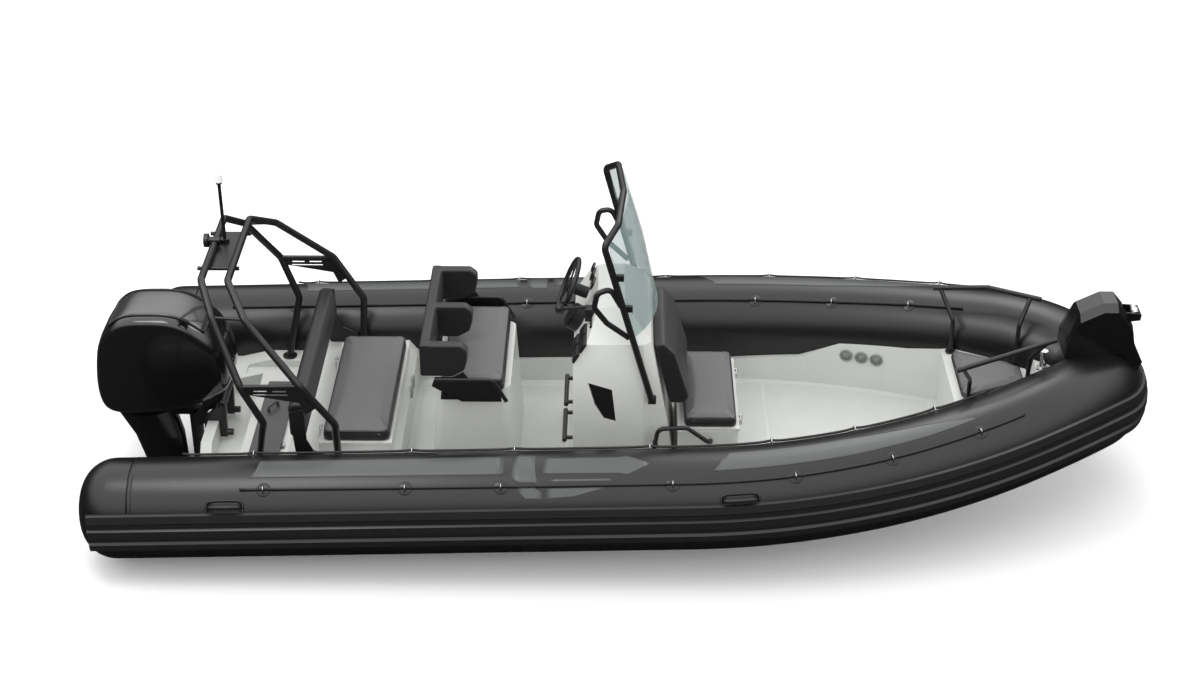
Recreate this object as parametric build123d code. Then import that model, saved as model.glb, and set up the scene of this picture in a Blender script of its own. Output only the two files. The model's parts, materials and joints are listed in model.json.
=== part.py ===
from build123d import *
import math
import os

# A 6.5 m rigid inflatable boat: vee hull and cockpit liner in glass-fibre, a
# two-sided air collar, centre console, two-place helm seat, stern bench,
# tubular arch over the stern and one outboard motor on the transom.
# Millimetres. +X is forward, +Y is port, +Z is up. The origin is on the
# centreline at the waterline, amidships.

# ---------------------------------------------------------------- driving sizes
TUBE_R = 280            # radius of the air collar
TUBE_Y = 990            # centreline of each tube from the boat's centreline
STERN_X = -2960         # after end of the tubes
STERN_ROUND = 190       # rounding of the tubes' closed after ends
SHEER_X = 400           # where the tubes start to bend in
SHOULDER_X = 2300       # the shoulder of the bow: a point of the tube's centreline
SHOULDER_Y = 540
NOSE_X = 2715           # where the bow's arc gives way to the round nose
NOSE_Y = 235
AXIS_AFT_Z = 308        # height of the tube's centreline at its after end
AXIS_SHEER_Z = 397      # where it starts to bend
AXIS_BOW_Z = 560        # and from the shoulder to the nose

TRANSOM_X = -2420       # after face of the transom
TRANSOM_THICK = 65
TRANSOM_TOP = 345       # top of the transom where the motor hangs
FLOOR_Z = 130           # cockpit sole aft
FLOOR_RISE = 65         # what the sole rises to its fore end
FLOOR_THICK = 40
STERN_DECK_Z = 330      # deck of the stern, each side of the motor well
BENCH_DECK_Z = 405      # side decks beside the stern bench
BOW_DECK_Z = 570        # deck round the bow locker

GAP = 0.3               # between a soft piece or a curved face and its neighbour
PIN_GAP = 0.08          # running clearance of a pin in its bore
PIN_R = 5               # hinge pins of the lids

PIPE_R = 21             # tube of the arch
RAIL_R = 15             # tube of the handrails


# ---------------------------------------------------------------- small helpers
def fuse(shapes):
    shapes = list(shapes)
    result = shapes[0]
    for shape in shapes[1:]:
        result = result + shape
    return result


def mirrored(shape):
    """The same shape on the other side of the boat."""
    return mirror(shape, about=Plane.XZ)


def both_sides(shape):
    """A starboard shape and its port twin, as one part."""
    return Compound(children=[*shape.solids(), *mirrored(shape).solids()])


def mirrored_outline(points):
    """A whole outline from the (x, y) points of its port half."""
    return [(x, -y) for x, y in points] + [(x, y) for x, y in reversed(points)]


def pipe(points, radius, bend):
    """A round tube along straight runs with bends of one radius."""
    path = FilletPolyline(*points, radius=bend) if len(points) > 2 else Line(*points)
    start = Plane(origin=path @ 0, z_dir=path % 0)
    return sweep(start * Circle(radius), path=path)


def block(x0, x1, y0, y1, z0, z1):
    """A box by its two corners."""
    centre = ((x0 + x1) / 2, (y0 + y1) / 2, (z0 + z1) / 2)
    return Pos(*centre) * Box(x1 - x0, y1 - y0, z1 - z0)


def rod_y(x, z, y0, y1, radius):
    """A round bar across the boat."""
    return Pos(x, (y0 + y1) / 2, z) * Rot(90, 0, 0) * Cylinder(radius, y1 - y0)


def rod_z(x, y, z0, z1, radius):
    """An upright round bar."""
    return Pos(x, y, (z0 + z1) / 2) * Cylinder(radius, z1 - z0)


def side_plate(points, y, thick):
    """A plate cut to an outline of (x, z) points, from y to y + thick."""
    face = make_face(Plane.XZ * Polyline(*points, close=True))
    return Pos(0, y, 0) * extrude(face, amount=thick, dir=(0, 1, 0))


def deck_plate(points, z, thick):
    """A plate cut to an outline of (x, y) points, from z up to z + thick."""
    face = make_face(Polyline(*points, close=True))
    return Pos(0, 0, z) * extrude(face, amount=thick, dir=(0, 0, 1))


def cross_plate(points, x, thick):
    """A plate cut to an outline of (y, z) points, from x to x + thick."""
    face = make_face(Plane.YZ * Polyline(*points, close=True))
    return Pos(x, 0, 0) * extrude(face, amount=thick, dir=(1, 0, 0))


def cushion(x0, x1, half_y, z0, thick):
    """A padded cushion: clipped corners and a rounded top edge, in proportion to its thickness."""
    pad = block(x0, x1, -half_y, half_y, z0, z0 + thick)
    pad = chamfer(pad.edges().filter_by(Axis.Z), 0.5 * thick)
    return fillet(pad.faces().sort_by(Axis.Z)[-1].edges(), 0.2 * thick)


# ---------------------------------------------------------------- the air collar
AFT = Vector(STERN_X, -TUBE_Y, AXIS_AFT_Z)
SHEER = Vector(SHEER_X, -TUBE_Y, AXIS_SHEER_Z)
SHOULDER = Vector(SHOULDER_X, -SHOULDER_Y, AXIS_BOW_Z)
NOSE = Vector(NOSE_X, -NOSE_Y, AXIS_BOW_Z)

# the starboard tube's centreline: a straight run and three tangent arcs, the last
# of which ends square to the boat's middle plane
TUBE_RUN = Line(AFT, SHEER)
TUBE_SHEER = TangentArc(SHEER, SHOULDER, tangent=TUBE_RUN % 1)
TUBE_BOW = TangentArc(SHOULDER, NOSE, tangent=TUBE_SHEER % 1)
ATHWART = Vector(0, 1, 0)
TIP = NOSE + (TUBE_BOW % 1 + ATHWART) * (NOSE_Y / (1 + (TUBE_BOW % 1).Y))
TUBE_NOSE = TangentArc(NOSE, TIP, tangent=TUBE_BOW % 1)
STERN_PLANE = Plane(origin=AFT, x_dir=(0, -1, 0), z_dir=TUBE_RUN % 0)


def along_tube(outline, start=0):
    """An outline carried along the tube, from START forward of its after end to the boat's middle plane."""
    run = Line(AFT + (TUBE_RUN % 0) * start, SHEER)
    path = Wire([run, TUBE_SHEER, TUBE_BOW, TUBE_NOSE])
    return sweep(STERN_PLANE * Pos(0, 0, start) * outline, path=path)


def starboard_tube():
    tube = along_tube(Circle(TUBE_R))
    stern = tube.faces().sort_by(Axis.X)[0]
    return fillet(stern.edges(), STERN_ROUND)


def axis_samples(steps):
    """Points and headings along the starboard tube's centreline."""
    rows = []
    for edge in (TUBE_RUN, TUBE_SHEER, TUBE_BOW, TUBE_NOSE):
        for k in range(steps + 1):
            rows.append((edge @ (k / steps), edge % (k / steps)))
    return rows


AXIS_ROWS = axis_samples(60)


def axis_at(x):
    """The tube's centreline at a station: its distance out, its height and its heading."""
    for (a, _), (b, way) in zip(AXIS_ROWS, AXIS_ROWS[1:]):
        if a.X <= x <= b.X and b.X > a.X:
            t = (x - a.X) / (b.X - a.X)
            heading = math.atan2(way.Y, way.X)
            return -(a.Y + t * (b.Y - a.Y)), a.Z + t * (b.Z - a.Z), heading
    return 0, TIP.Z, math.pi / 2


def beside_tube(x, inboard):
    """Distance out of a line that runs beside the tube, INBOARD of its centreline."""
    out, _, heading = axis_at(x)
    return out - inboard / math.cos(heading)


tube_starboard = starboard_tube()
tube_port = mirrored(tube_starboard)


# ---------------------------------------------------------------- rubbing strake
STRAKE_FROM = 19        # degrees round the tube, above level
STRAKE_TO = -28
STRAKE_AFT = 86         # its after end, forward of the tube's
STRAKE_BASE = 8         # thickness of the backing band
RIB_HIGH = 22           # how far the ribs stand off the tube
RIB_WIDE = 12           # degrees round the tube
RIB_SLOPE = 2
RIBS = (12, -4.5, -21)  # middle of each rib, degrees


def strake_outline():
    """The strake's section: an inner arc on the tube and an outer line with three ribs."""
    inner = TUBE_R + GAP
    base = TUBE_R + STRAKE_BASE
    top = TUBE_R + RIB_HIGH
    outer = [(STRAKE_FROM, base)]
    for middle in RIBS:
        half = RIB_WIDE / 2
        outer += [(middle + half, base), (middle + half - RIB_SLOPE, top),
                  (middle - half + RIB_SLOPE, top), (middle - half, base)]
    outer.append((STRAKE_TO, base))
    points = [polar(r, a) for a, r in outer]
    arc = ThreePointArc(polar(inner, STRAKE_TO), polar(inner, (STRAKE_FROM + STRAKE_TO) / 2),
                        polar(inner, STRAKE_FROM))
    return make_face([Polyline(*points), Line(points[-1], arc @ 0), arc, Line(arc @ 1, points[0])])


def polar(radius, degrees):
    angle = math.radians(degrees)
    return radius * math.cos(angle), radius * math.sin(angle)


def strake():
    """The rubbing strake of the starboard tube."""
    return along_tube(strake_outline(), STRAKE_AFT)


strake_starboard = strake()
PARTS = {
    "tube_starboard": tube_starboard,
    "tube_port": tube_port,
    "strake_starboard": strake_starboard,
    "strake_port": mirrored(strake_starboard),
}


# ---------------------------------------------------------------- the hull
# Stations of the hull: x, keel z, chine y, chine z.
STATIONS = (
    (TRANSOM_X, -420, 700, -130),
    (-1500, -420, 702, -125),
    (-500, -420, 702, -115),
    (SHEER_X, -415, 690, -95),
    (1100, -380, 640, -45),
    (1700, -300, 530, 50),
    (2150, -185, 385, 165),
    (2500, -20, 215, 285),
    (2740, 175, 75, 315),
)
HULL_IN = 190           # the hull's top edge, inboard of the tube's centreline
HULL_BOND = 45          # how far the top edge runs up into the bond with the tube
HULL_SKIN = 14
ABOVE = AXIS_BOW_Z + 3 * TUBE_R     # a height over all that is cut open
CHINE_FLAT = 45
SPRAY_RAILS = (0.36, 0.68)      # of the way from keel to chine
SPRAY_RAIL = 34         # width of each rail


def top_edge(x):
    """The hull's top edge, inside the bond with the tube: its y and z."""
    out, axis_z, _ = axis_at(x)
    top_y = max(beside_tube(x, HULL_IN), 0.72 * out)
    return top_y, axis_z - math.sqrt(TUBE_R ** 2 - (out - top_y) ** 2) + HULL_BOND


def hull_section(x, keel_z, chine_y, chine_z):
    """One section of the hull: keel, two spray rails, chine flat and side."""
    top_y, top_z = top_edge(x)
    size = chine_y / STATIONS[0][2]
    flat = CHINE_FLAT * size
    rail = SPRAY_RAIL * size
    rise = (chine_z - keel_z) / (chine_y - flat)
    half = [(0, keel_z)]
    for share in SPRAY_RAILS:
        y = share * (chine_y - flat)
        half += [(y, keel_z + rise * y), (y + rail, keel_z + rise * y),
                 (y + rail + 4 * size, keel_z + rise * (y + rail + 4 * size))]
    half += [(chine_y - flat, chine_z), (chine_y, chine_z), (top_y, top_z)]
    return section_face(x, half)


def inner_section(x, keel_z, chine_y, chine_z):
    """The inside of the hull's skin at a station, carried up past the tubes."""
    top_y, top_z = top_edge(x)
    half = [(0, keel_z + HULL_SKIN), (chine_y - HULL_SKIN, chine_z + HULL_SKIN),
            (top_y - HULL_SKIN, top_z), (top_y - HULL_SKIN, ABOVE)]
    return section_face(x, half)


def section_face(x, half):
    """A face across the boat from the (y, z) points of its port half."""
    starboard = [(-y, z) for y, z in reversed(half) if y > 0]
    return make_face(Polyline(*[(x, y, z) for y, z in half + starboard], close=True))


# ---------------------------------------------------------------- the cockpit liner
LINER_IN = 215          # the liner's edge, inboard of the tube's centreline
SOLE_IN = 293           # the foot of the cockpit side
BENCH_AFT = -1700       # stern bench: aft, fore, half width, top of its locker
BENCH_FORE = -1285
BENCH_HALF = 560
BENCH_Z = 452
COCKPIT_AFT = -1250
COCKPIT_FORE = 1960
SLOPE_FROM = -300       # where the sole starts to rise
LINER_FORE = 2560
LINER_BOTTOM = FLOOR_Z - FLOOR_THICK
WALL = 45               # wall round each locker
RIM = 22                # seat of a lid on its locker's wall

WELL = (-2180, 430, 215)                    # motor well: fore end, half width, floor
HATCH = (-2125, -1950, -500, 310)           # battery locker's hatch: x, x, y, y
HATCH_FLOOR_Z = 180
SIDE_TRAY = (-2300, -1960, 470, 585, 285)   # tray to port of the well: x, x, y, y, floor
BOW_LOCKER = (2040, 2420)                   # bow locker's lid: x, x
BOW_LID_AFT = 268                           # its half width aft and fore
BOW_LID_FORE = 100
BITT_STEP = (2462, 650)                     # the raised deck under the bitt: x, z

# Height of the liner's edge along the boat: x, z.
COAMING = (
    (TRANSOM_X + TRANSOM_THICK, 285), (-2180, STERN_DECK_Z), (-1905, STERN_DECK_Z),
    (-1810, BENCH_DECK_Z), (-1300, BENCH_DECK_Z), (-1190, 270), (700, 292), (1130, 352),
    (1370, 470), (1780, 512), (COCKPIT_FORE, 552), (2010, BOW_DECK_Z),
    (BITT_STEP[0] - 12, BOW_DECK_Z), BITT_STEP, (LINER_FORE, BITT_STEP[1] + 6),
)


def stations(x0, x1, steps, inboard):
    """Points (x, y) of a line beside the port tube."""
    rows = []
    for k in range(steps + 1):
        x = x0 + (x1 - x0) * k / steps
        rows.append((x, beside_tube(x, inboard)))
    return rows


def bow_outline(x0, x1, inset=0):
    """The tapered outline of the bow locker's lid, inset all round."""
    slope = (BOW_LID_AFT - BOW_LID_FORE) / (BOW_LOCKER[1] - BOW_LOCKER[0])
    rows = []
    for x in (x0 + inset, x1 - inset):
        rows.append((x, BOW_LID_AFT - slope * (x - BOW_LOCKER[0]) - inset))
    return mirrored_outline(rows)


def under_sole():
    """Everything below the sole, which rises towards the bow."""
    line = [(COCKPIT_AFT, FLOOR_Z), (SLOPE_FROM, FLOOR_Z), (COCKPIT_FORE, FLOOR_Z + FLOOR_RISE)]
    ends = [(COCKPIT_FORE, LINER_BOTTOM - TUBE_R), (COCKPIT_AFT, LINER_BOTTOM - TUBE_R)]
    return side_plate(line + ends, -TUBE_Y, 2 * TUBE_Y)


BELOW_SOLE = under_sole()


def liner_edge():
    """The liner's plan: beside the tubes from the transom to the bow."""
    aft = COAMING[0][0]
    return [(aft, beside_tube(aft, LINER_IN)), *stations(SHEER_X, LINER_FORE, 12, LINER_IN)]


def cockpit():
    """The space of the cockpit, over the sole."""
    edge = [(COCKPIT_AFT, beside_tube(COCKPIT_AFT, SOLE_IN)), *stations(SHEER_X, COCKPIT_FORE, 8, SOLE_IN)]
    return deck_plate(mirrored_outline(edge), FLOOR_Z, ABOVE) - BELOW_SOLE


def liner_blank():
    """The liner before the cockpit is cut: it fills the hull's skin from its bottom up."""
    side = [(COAMING[0][0], LINER_BOTTOM), *COAMING, (LINER_FORE, LINER_BOTTOM)]
    body = side_plate(side, -TUBE_Y, 2 * TUBE_Y)
    body = body & deck_plate(mirrored_outline(liner_edge()), LINER_BOTTOM - 1, ABOVE)
    return body & loft([inner_section(*row) for row in STATIONS], ruled=True)


def cockpit_liner():
    body = LINER_BLANK - cockpit()
    bench = block(BENCH_AFT, BENCH_FORE, -BENCH_HALF, BENCH_HALF, LINER_BOTTOM, BENCH_Z)
    body = body + bench
    well_fore, well_half, well_floor = WELL
    body = body - block(COAMING[0][0] - 1, well_fore, -well_half, well_half, well_floor, ABOVE)
    bench_well = block(BENCH_AFT + WALL, BENCH_FORE - WALL, -BENCH_HALF + WALL, BENCH_HALF - WALL,
                       FLOOR_Z, BENCH_Z + 1)
    body = body - bench_well
    x0, x1, y0, y1 = HATCH
    body = body - block(x0 + RIM, x1 - RIM, y0 + RIM, y1 - RIM, HATCH_FLOOR_Z, ABOVE)
    x0, x1, y0, y1, floor = SIDE_TRAY
    tray = fillet(block(x0, x1, y0, y1, floor, STERN_DECK_Z + 1).edges().filter_by(Axis.Z), 25)
    tray = tray + Pos(0, 0, STERN_DECK_Z - floor) * tray
    body = body - tray
    body = body - deck_plate(bow_outline(*BOW_LOCKER, RIM), FLOOR_Z + 2 * FLOOR_THICK, ABOVE)
    return body - tube_starboard - tube_port


def hull_shell():
    """The hull under the liner, with the transom that carries the motor."""
    body = loft([hull_section(*row) for row in STATIONS], ruled=True) - LINER_BLANK
    fore = TRANSOM_X + TRANSOM_THICK
    half = beside_tube(TRANSOM_X, LINER_IN)
    top = COAMING[0][1]
    transom = cross_plate([(-half, 0), (-half, top), (-WELL[1], top), (-WELL[1] + 60, TRANSOM_TOP),
                           (WELL[1] - 60, TRANSOM_TOP), (WELL[1], top), (half, top), (half, 0)],
                          TRANSOM_X, fore - TRANSOM_X)
    return body + transom - tube_starboard - tube_port


LINER_BLANK = liner_blank()
deck_liner = cockpit_liner()
PARTS["hull"] = hull_shell()
PARTS["deck_liner"] = deck_liner


# ---------------------------------------------------------------- lids and their hinges
LID_THICK = 18
BARREL_R = 9            # hinge barrels on the deck
BARREL_LONG = 30
LID_LIFT = 2            # a lid above its rim


def hinges(x, z, deck_z, side, ys, face_x=None):
    """Fixed barrels at x, z on a deck, or on a face at x; SIDE is where the lid lies, +1 forward."""
    shapes = []
    for y in ys:
        y0, y1 = y - BARREL_LONG / 2, y + BARREL_LONG / 2
        inner, outer = sorted((x, x - side * BARREL_R))
        barrel = rod_y(x, z, y0, y1, BARREL_R) + block(inner, outer, y0, y1, deck_z, z)
        if face_x is not None:
            barrel = barrel + block(*sorted((face_x, x)), y0, y1, deck_z, z - BARREL_R - LID_LIFT)
        shapes.append(barrel - rod_y(x, z, y0 - 1, y1 + 1, PIN_R + PIN_GAP))
    return shapes


def lid_pins(x, z, side, reach, ys):
    """The pins of a lid and the lugs that carry them, reaching from the lid's edge."""
    shapes = []
    for y in ys:
        half = BARREL_LONG / 2 + 1
        shapes.append(rod_y(x, z, y - half - 10, y + half + 10, PIN_R))
        for y0 in (y - half - 10, y + half):
            near, far = sorted((x, x + side * reach))
            shapes.append(block(near, far, y0, y0 + 10, z - PIN_R, z + PIN_R))
    return shapes


# ---------------------------------------------------------------- stern bench
BENCH_LID_Z = BENCH_Z + LID_LIFT
BENCH_PIN = (BENCH_AFT - 12, BENCH_LID_Z + LID_THICK / 2)
BENCH_HINGES = (-380, 380)
BENCH_PAD = 73          # thickness of the bench cushion
bench_lid = block(BENCH_AFT, BENCH_FORE, -BENCH_HALF, BENCH_HALF, BENCH_LID_Z, BENCH_LID_Z + LID_THICK)
PARTS["bench_lid"] = fuse([bench_lid, *lid_pins(*BENCH_PIN, 1, 20, BENCH_HINGES)])
PARTS["bench_cushion"] = cushion(BENCH_AFT + 18, BENCH_FORE - 10, BENCH_HALF - 8, BENCH_LID_Z + LID_THICK,
                                 BENCH_PAD)
BACK_BAR = (-1838, -1742, 690, 578, 800)    # backrest: aft, fore, half width, bottom, top
ARM_THICK = 12


def bench_backrest():
    aft, fore, half, bottom, top = BACK_BAR
    bar = block(aft, fore, -half, half, bottom, top)
    bar = fillet(bar.edges().filter_by(Axis.Y), 25)
    return bar


def backrest_arm():
    """The curved arm that carries one end of the backrest from the side deck."""
    aft, fore, half, bottom, top = BACK_BAR
    foot = BENCH_DECK_Z
    outline = [(aft + 8, top - 40), (fore - 4, top - 20), (fore, bottom), (fore + 32, bottom - 68),
               (fore + 120, foot + 62), (fore + 140, foot), (aft + 46, foot), (aft + 28, foot + 110)]
    arm = side_plate(outline, -half - ARM_THICK, ARM_THICK)
    return arm - deck_liner


PARTS["bench_backrest"] = bench_backrest()
PARTS["bench_backrest_arms"] = both_sides(backrest_arm())

# ---------------------------------------------------------------- battery hatch
HATCH_LID_Z = STERN_DECK_Z + LID_LIFT
HATCH_PIN = (HATCH[1] + 13, HATCH_LID_Z + 8)
HATCH_HINGES = (HATCH[2] + 110, HATCH[3] - 110)
HATCH_THICK = 14
HATCH_GRIP = (60, 130, 45)                  # its lift-up grip: y, y from the middle, height


def aft_hatch():
    """The hatch's board with its lift-up grip and its pins."""
    x0, x1, y0, y1 = HATCH
    board = block(x0, x1, y0, y1, HATCH_LID_Z, HATCH_LID_Z + HATCH_THICK)
    near, far, high = HATCH_GRIP
    middle = (y0 + y1) / 2
    ends = [(x0 + 50, middle + near), (x0 + 95, middle + far)]
    path = [(*ends[0], HATCH_LID_Z), (*ends[0], HATCH_LID_Z + high), (*ends[1], HATCH_LID_Z + high), (*ends[1], HATCH_LID_Z)]
    return fuse([board, pipe(path, 9, 14), *lid_pins(*HATCH_PIN, -1, 22, HATCH_HINGES)])


PARTS["aft_hatch"] = aft_hatch()

# ---------------------------------------------------------------- bow locker
BOW_LID_Z = BOW_DECK_Z + LID_LIFT
BOW_PIN = (BOW_LOCKER[1] + 12, BOW_LID_Z + LID_THICK / 2 + 4)
BOW_HINGES = (-60, 60)
BOW_PAD = (1990, 2385, 262, 42)             # cushion: aft, fore, half width aft, thickness
bow_lid = deck_plate(bow_outline(*BOW_LOCKER), BOW_LID_Z, LID_THICK)
PARTS["bow_lid"] = fuse([bow_lid, *lid_pins(*BOW_PIN, -1, 20, BOW_HINGES)])


def bow_cushion():
    """The cushion on the bow locker's lid, tapered with it."""
    aft, fore, half, thick = BOW_PAD
    outline = mirrored_outline([(aft, half - 40), (aft + 30, half), (fore - 70, half / 2), (fore, half / 4)])
    pad = deck_plate(outline, BOW_LID_Z + LID_THICK, thick)
    return fillet(pad.faces().sort_by(Axis.Z)[-1].edges(), 0.28 * thick)


PARTS["bow_cushion"] = bow_cushion()

# ---------------------------------------------------------------- helm seat
POD = (-1040, -610, 390, 735)       # aft, fore, half width, top
HELM_PAD = 86                       # thickness of the seat cushion
HELM_SIDE_Y = 474                   # inner face of the side plates
HELM_PLATE = 8
HELM_RAIL_Z = 846
HELM_BACK = (-1112, -1052, 484, 862, 1072)  # backrest: aft, fore, half width, bottom, top
WING_REACH = 215                    # the three wings of the backrest, forward of its back
WING_THICK = 66


def helm_pod():
    aft, fore, half, top = POD
    foot = RectangleRounded(fore - aft + 70, 2 * half + 50, 60)
    head = RectangleRounded(fore - aft, 2 * half, 60)
    middle = (aft + fore) / 2
    return loft([Pos(middle, 0, FLOOR_Z) * foot, Pos(middle, 0, top) * head])


def helm_backrest():
    aft, fore, half, bottom, top = HELM_BACK
    back = block(aft, fore, -half, half, bottom, top)
    for y in (-half, -WING_THICK / 2, half - WING_THICK):
        outline = [(fore, bottom), (fore + WING_REACH - 90, bottom), (fore + WING_REACH - 20, bottom + 40),
                   (fore + WING_REACH, top - 90), (fore + WING_REACH, top - 40),
                   (fore + WING_REACH - 40, top - 4), (fore, top - 4)]
        back = back + side_plate(outline, y, WING_THICK)
    return back


def helm_side():
    """One side plate of the helm seat with the bracket that carries the backrest."""
    plate = side_plate([(-1048, 805), (-1034, HELM_RAIL_Z), (-695, HELM_RAIL_Z), (-667, 800), (-655, 703), (-880, 703)],
                       -HELM_SIDE_Y - HELM_PLATE, HELM_PLATE)
    fork = side_plate([(-1020, HELM_RAIL_Z - 10), (-975, HELM_RAIL_Z - 10), (-950, HELM_RAIL_Z + 10),
                       (-915, HELM_RAIL_Z + 10), (-870, HELM_RAIL_Z - 10), (-825, HELM_RAIL_Z - 10),
                       (-872, 905), (-872, 950), (-1045, 950), (-1045, 895)],
                      -HELM_SIDE_Y - HELM_PLATE, HELM_PLATE)
    eye = block(-948, -918, -HELM_SIDE_Y - 20, -HELM_SIDE_Y + 20, HELM_RAIL_Z, 890)
    rail = pipe([(-1030, -HELM_SIDE_Y - 4, HELM_RAIL_Z), (-705, -HELM_SIDE_Y - 4, HELM_RAIL_Z),
                 (-628, -HELM_SIDE_Y - 4, 705)], 12, 45)
    tie = block(-1000, -700, -HELM_SIDE_Y, -POD[2] + 30, 712, POD[3])
    return plate + fork + rail + tie


helm_pod_solid = helm_pod()
helm_backrest_solid = helm_backrest()
PARTS["helm_pod"] = helm_pod_solid
PARTS["helm_cushion"] = cushion(POD[0] + 35, POD[1] - 30, POD[2] + 50, POD[3] + GAP, HELM_PAD)
PARTS["helm_backrest"] = helm_backrest_solid
PARTS["helm_side_plates"] = both_sides(helm_side() - helm_pod_solid - helm_backrest_solid)

# ---------------------------------------------------------------- console
CONSOLE_HALF = 430
CONSOLE_TOP_Z = 1205
CONSOLE = ((-258, FLOOR_Z), (-250, 930), (-168, 1065), (-112, 1190), (40, CONSOLE_TOP_Z), (190, 1075),
           (290, 500), (350, FLOOR_Z))
CONSOLE_FRONT = ((CONSOLE_HALF, FLOOR_Z), (CONSOLE_HALF, 1050), (250, CONSOLE_TOP_Z))
POCKET = ((-166, 800), (-30, 755), (-7, 540), (-75, 560), (-127, 655))
POCKET_DEEP = 60


def console_body():
    """The console: its side profile, its front profile and its plan, all at once."""
    low = FLOOR_Z - FLOOR_THICK
    profile = [(x, low if z == FLOOR_Z else z) for x, z in CONSOLE]
    body = side_plate(profile, -CONSOLE_HALF, 2 * CONSOLE_HALF)
    front = [(-y, z) for y, z in CONSOLE_FRONT] + [(y, z) for y, z in reversed(CONSOLE_FRONT)]
    body = body & cross_plate(front, CONSOLE[0][0] - 10, 1000)
    plan = [(CONSOLE[0][0] - 10, CONSOLE_HALF), (150, CONSOLE_HALF), (360, CONSOLE_HALF - 95)]
    body = body & deck_plate(mirrored_outline(plan), low, ABOVE)
    pocket = side_plate(POCKET, -CONSOLE_HALF - 10, POCKET_DEEP + 10)
    return body - pocket - BELOW_SOLE


console = console_body()
PARTS["console"] = console
PADS = CONSOLE[1:3]     # the sloping face under the dash


def on_slope(share, y):
    """A frame on the sloping face: x' to port, y' up the slope, z' out towards the helm."""
    x = PADS[0][0] + share * (PADS[1][0] - PADS[0][0])
    z = PADS[0][1] + share * (PADS[1][1] - PADS[0][1])
    up = Vector(PADS[1][0] - PADS[0][0], 0, PADS[1][1] - PADS[0][1]).normalized()
    return Plane(origin=(x, y, z), x_dir=(0, -1, 0), z_dir=Vector(0, -1, 0).cross(up))


def dash_pads():
    """Four rubber knee pads on the sloping face, and the compass beside them."""
    pads = []
    for row in (0.05, 0.53):
        for column in (-395, -265):
            pad = Pos(0, 0, 9 + GAP) * Box(115, 62, 18)
            pad = chamfer(pad.faces().sort_by(Axis.Z)[-1].edges(), 8)
            pads.append(on_slope(row + 0.22, column) * pad)
    return Compound(children=[solid for pad in pads for solid in pad.solids()])


PARTS["console_pads"] = dash_pads()
COMPASS = (0.42, -30, 78, 60)       # place up the slope, y, radius, depth


def compass():
    share, y, radius, deep = COMPASS
    bowl = Cylinder(radius, deep) + Pos(0, 0, deep / 2) * Cylinder(radius - 14, 24)
    return (on_slope(share, y) * Pos(0, 0, deep / 2) * bowl) - console


PARTS["compass"] = compass()

WHEEL = (-283, 0, 1190)             # centre of the steering wheel
WHEEL_R = 165
WHEEL_RIM = 14
WHEEL_LEAN = 22
wheel_axis = Vector(-math.cos(math.radians(WHEEL_LEAN)), 0, math.sin(math.radians(WHEEL_LEAN)))
WHEEL_PLANE = Plane(origin=WHEEL, x_dir=(0, -1, 0), z_dir=wheel_axis)
SHAFT_R = 11
COLUMN_R = 34
COLUMN_LONG = 96


def steering_wheel():
    rim = Torus(WHEEL_R, WHEEL_RIM)
    spokes = [Rot(0, 0, a) * Pos(WHEEL_R / 2, 0) * Box(WHEEL_R, 26, 8) for a in (0, 120, 240)]
    hub = Cylinder(36, 26) + Pos(0, 0, -50) * Cylinder(SHAFT_R, 80)
    return WHEEL_PLANE * (rim + spokes + hub)


column = Pos(0, 0, -22 - COLUMN_LONG / 2) * (Cylinder(COLUMN_R, COLUMN_LONG))
bore = Pos(0, 0, -50) * Cylinder(SHAFT_R + PIN_GAP, 82)
PARTS["steering_wheel"] = steering_wheel()
PARTS["steering_column"] = (WHEEL_PLANE * (column - bore)) - console
THROTTLE = ((-125, -205, 1130), (-190, -205, 1165), (-330, -240, 1175))


def throttle():
    """The throttle's binnacle, lever and knob."""
    x, y, z = THROTTLE[0]
    binnacle = block(x - 60, x + 35, y - 30, y + 30, z - 40, z + 35)
    return fuse([pipe(THROTTLE, 11, 30), Pos(*THROTTLE[-1]) * Sphere(24), binnacle]) - console


PARTS["throttle"] = throttle()
FOOT_BARS = (-305, 30, 360, 367)    # x, y, y, z


def footrest():
    x, y0, y1, z = FOOT_BARS
    bar = rod_y(x, z, -y1, -y0, 14)
    for y in (-y1 + 30, -y0 - 30):
        bar = bar + block(x, CONSOLE[0][0] + 8, y - 8, y + 8, z - 9, z + 9)
    return bar - console


PARTS["footrests"] = both_sides(footrest())

# ---------------------------------------------------------------- console seat
SEAT = (350, 706, 398, 455)         # aft, fore, half width, top of its box
SEAT_PIN = (SEAT[1] + 13, SEAT[3] + LID_LIFT + LID_THICK / 2)
SEAT_HINGES = (-260, 260)
SEAT_PAD = 68           # thickness of its cushion
SEAT_BACK = ((205, 1000), (262, 1010), (330, 940), (372, 800), (418, 650), (385, 610), (300, 610))
SEAT_BACK_HALF = 350


def console_seat_base():
    """The hollow box of the seat in front of the console."""
    aft, fore, half, top = SEAT
    box = block(aft, fore, -half, half, FLOOR_Z - FLOOR_THICK, top)
    box = fillet(box.edges().filter_by(Axis.Z).sort_by(Axis.X)[-2:], 60)
    box = box - block(aft + WALL, fore - WALL, -half + WALL, half - WALL, FLOOR_Z + RIM, ABOVE)
    return box - BELOW_SOLE - console


def console_seat_lid():
    aft, fore, half, top = SEAT
    lid = block(aft + 26, fore, -half + 4, half - 4, top + LID_LIFT, top + LID_LIFT + LID_THICK)
    return fuse([lid, *lid_pins(*SEAT_PIN, -1, 20, SEAT_HINGES)])


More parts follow.
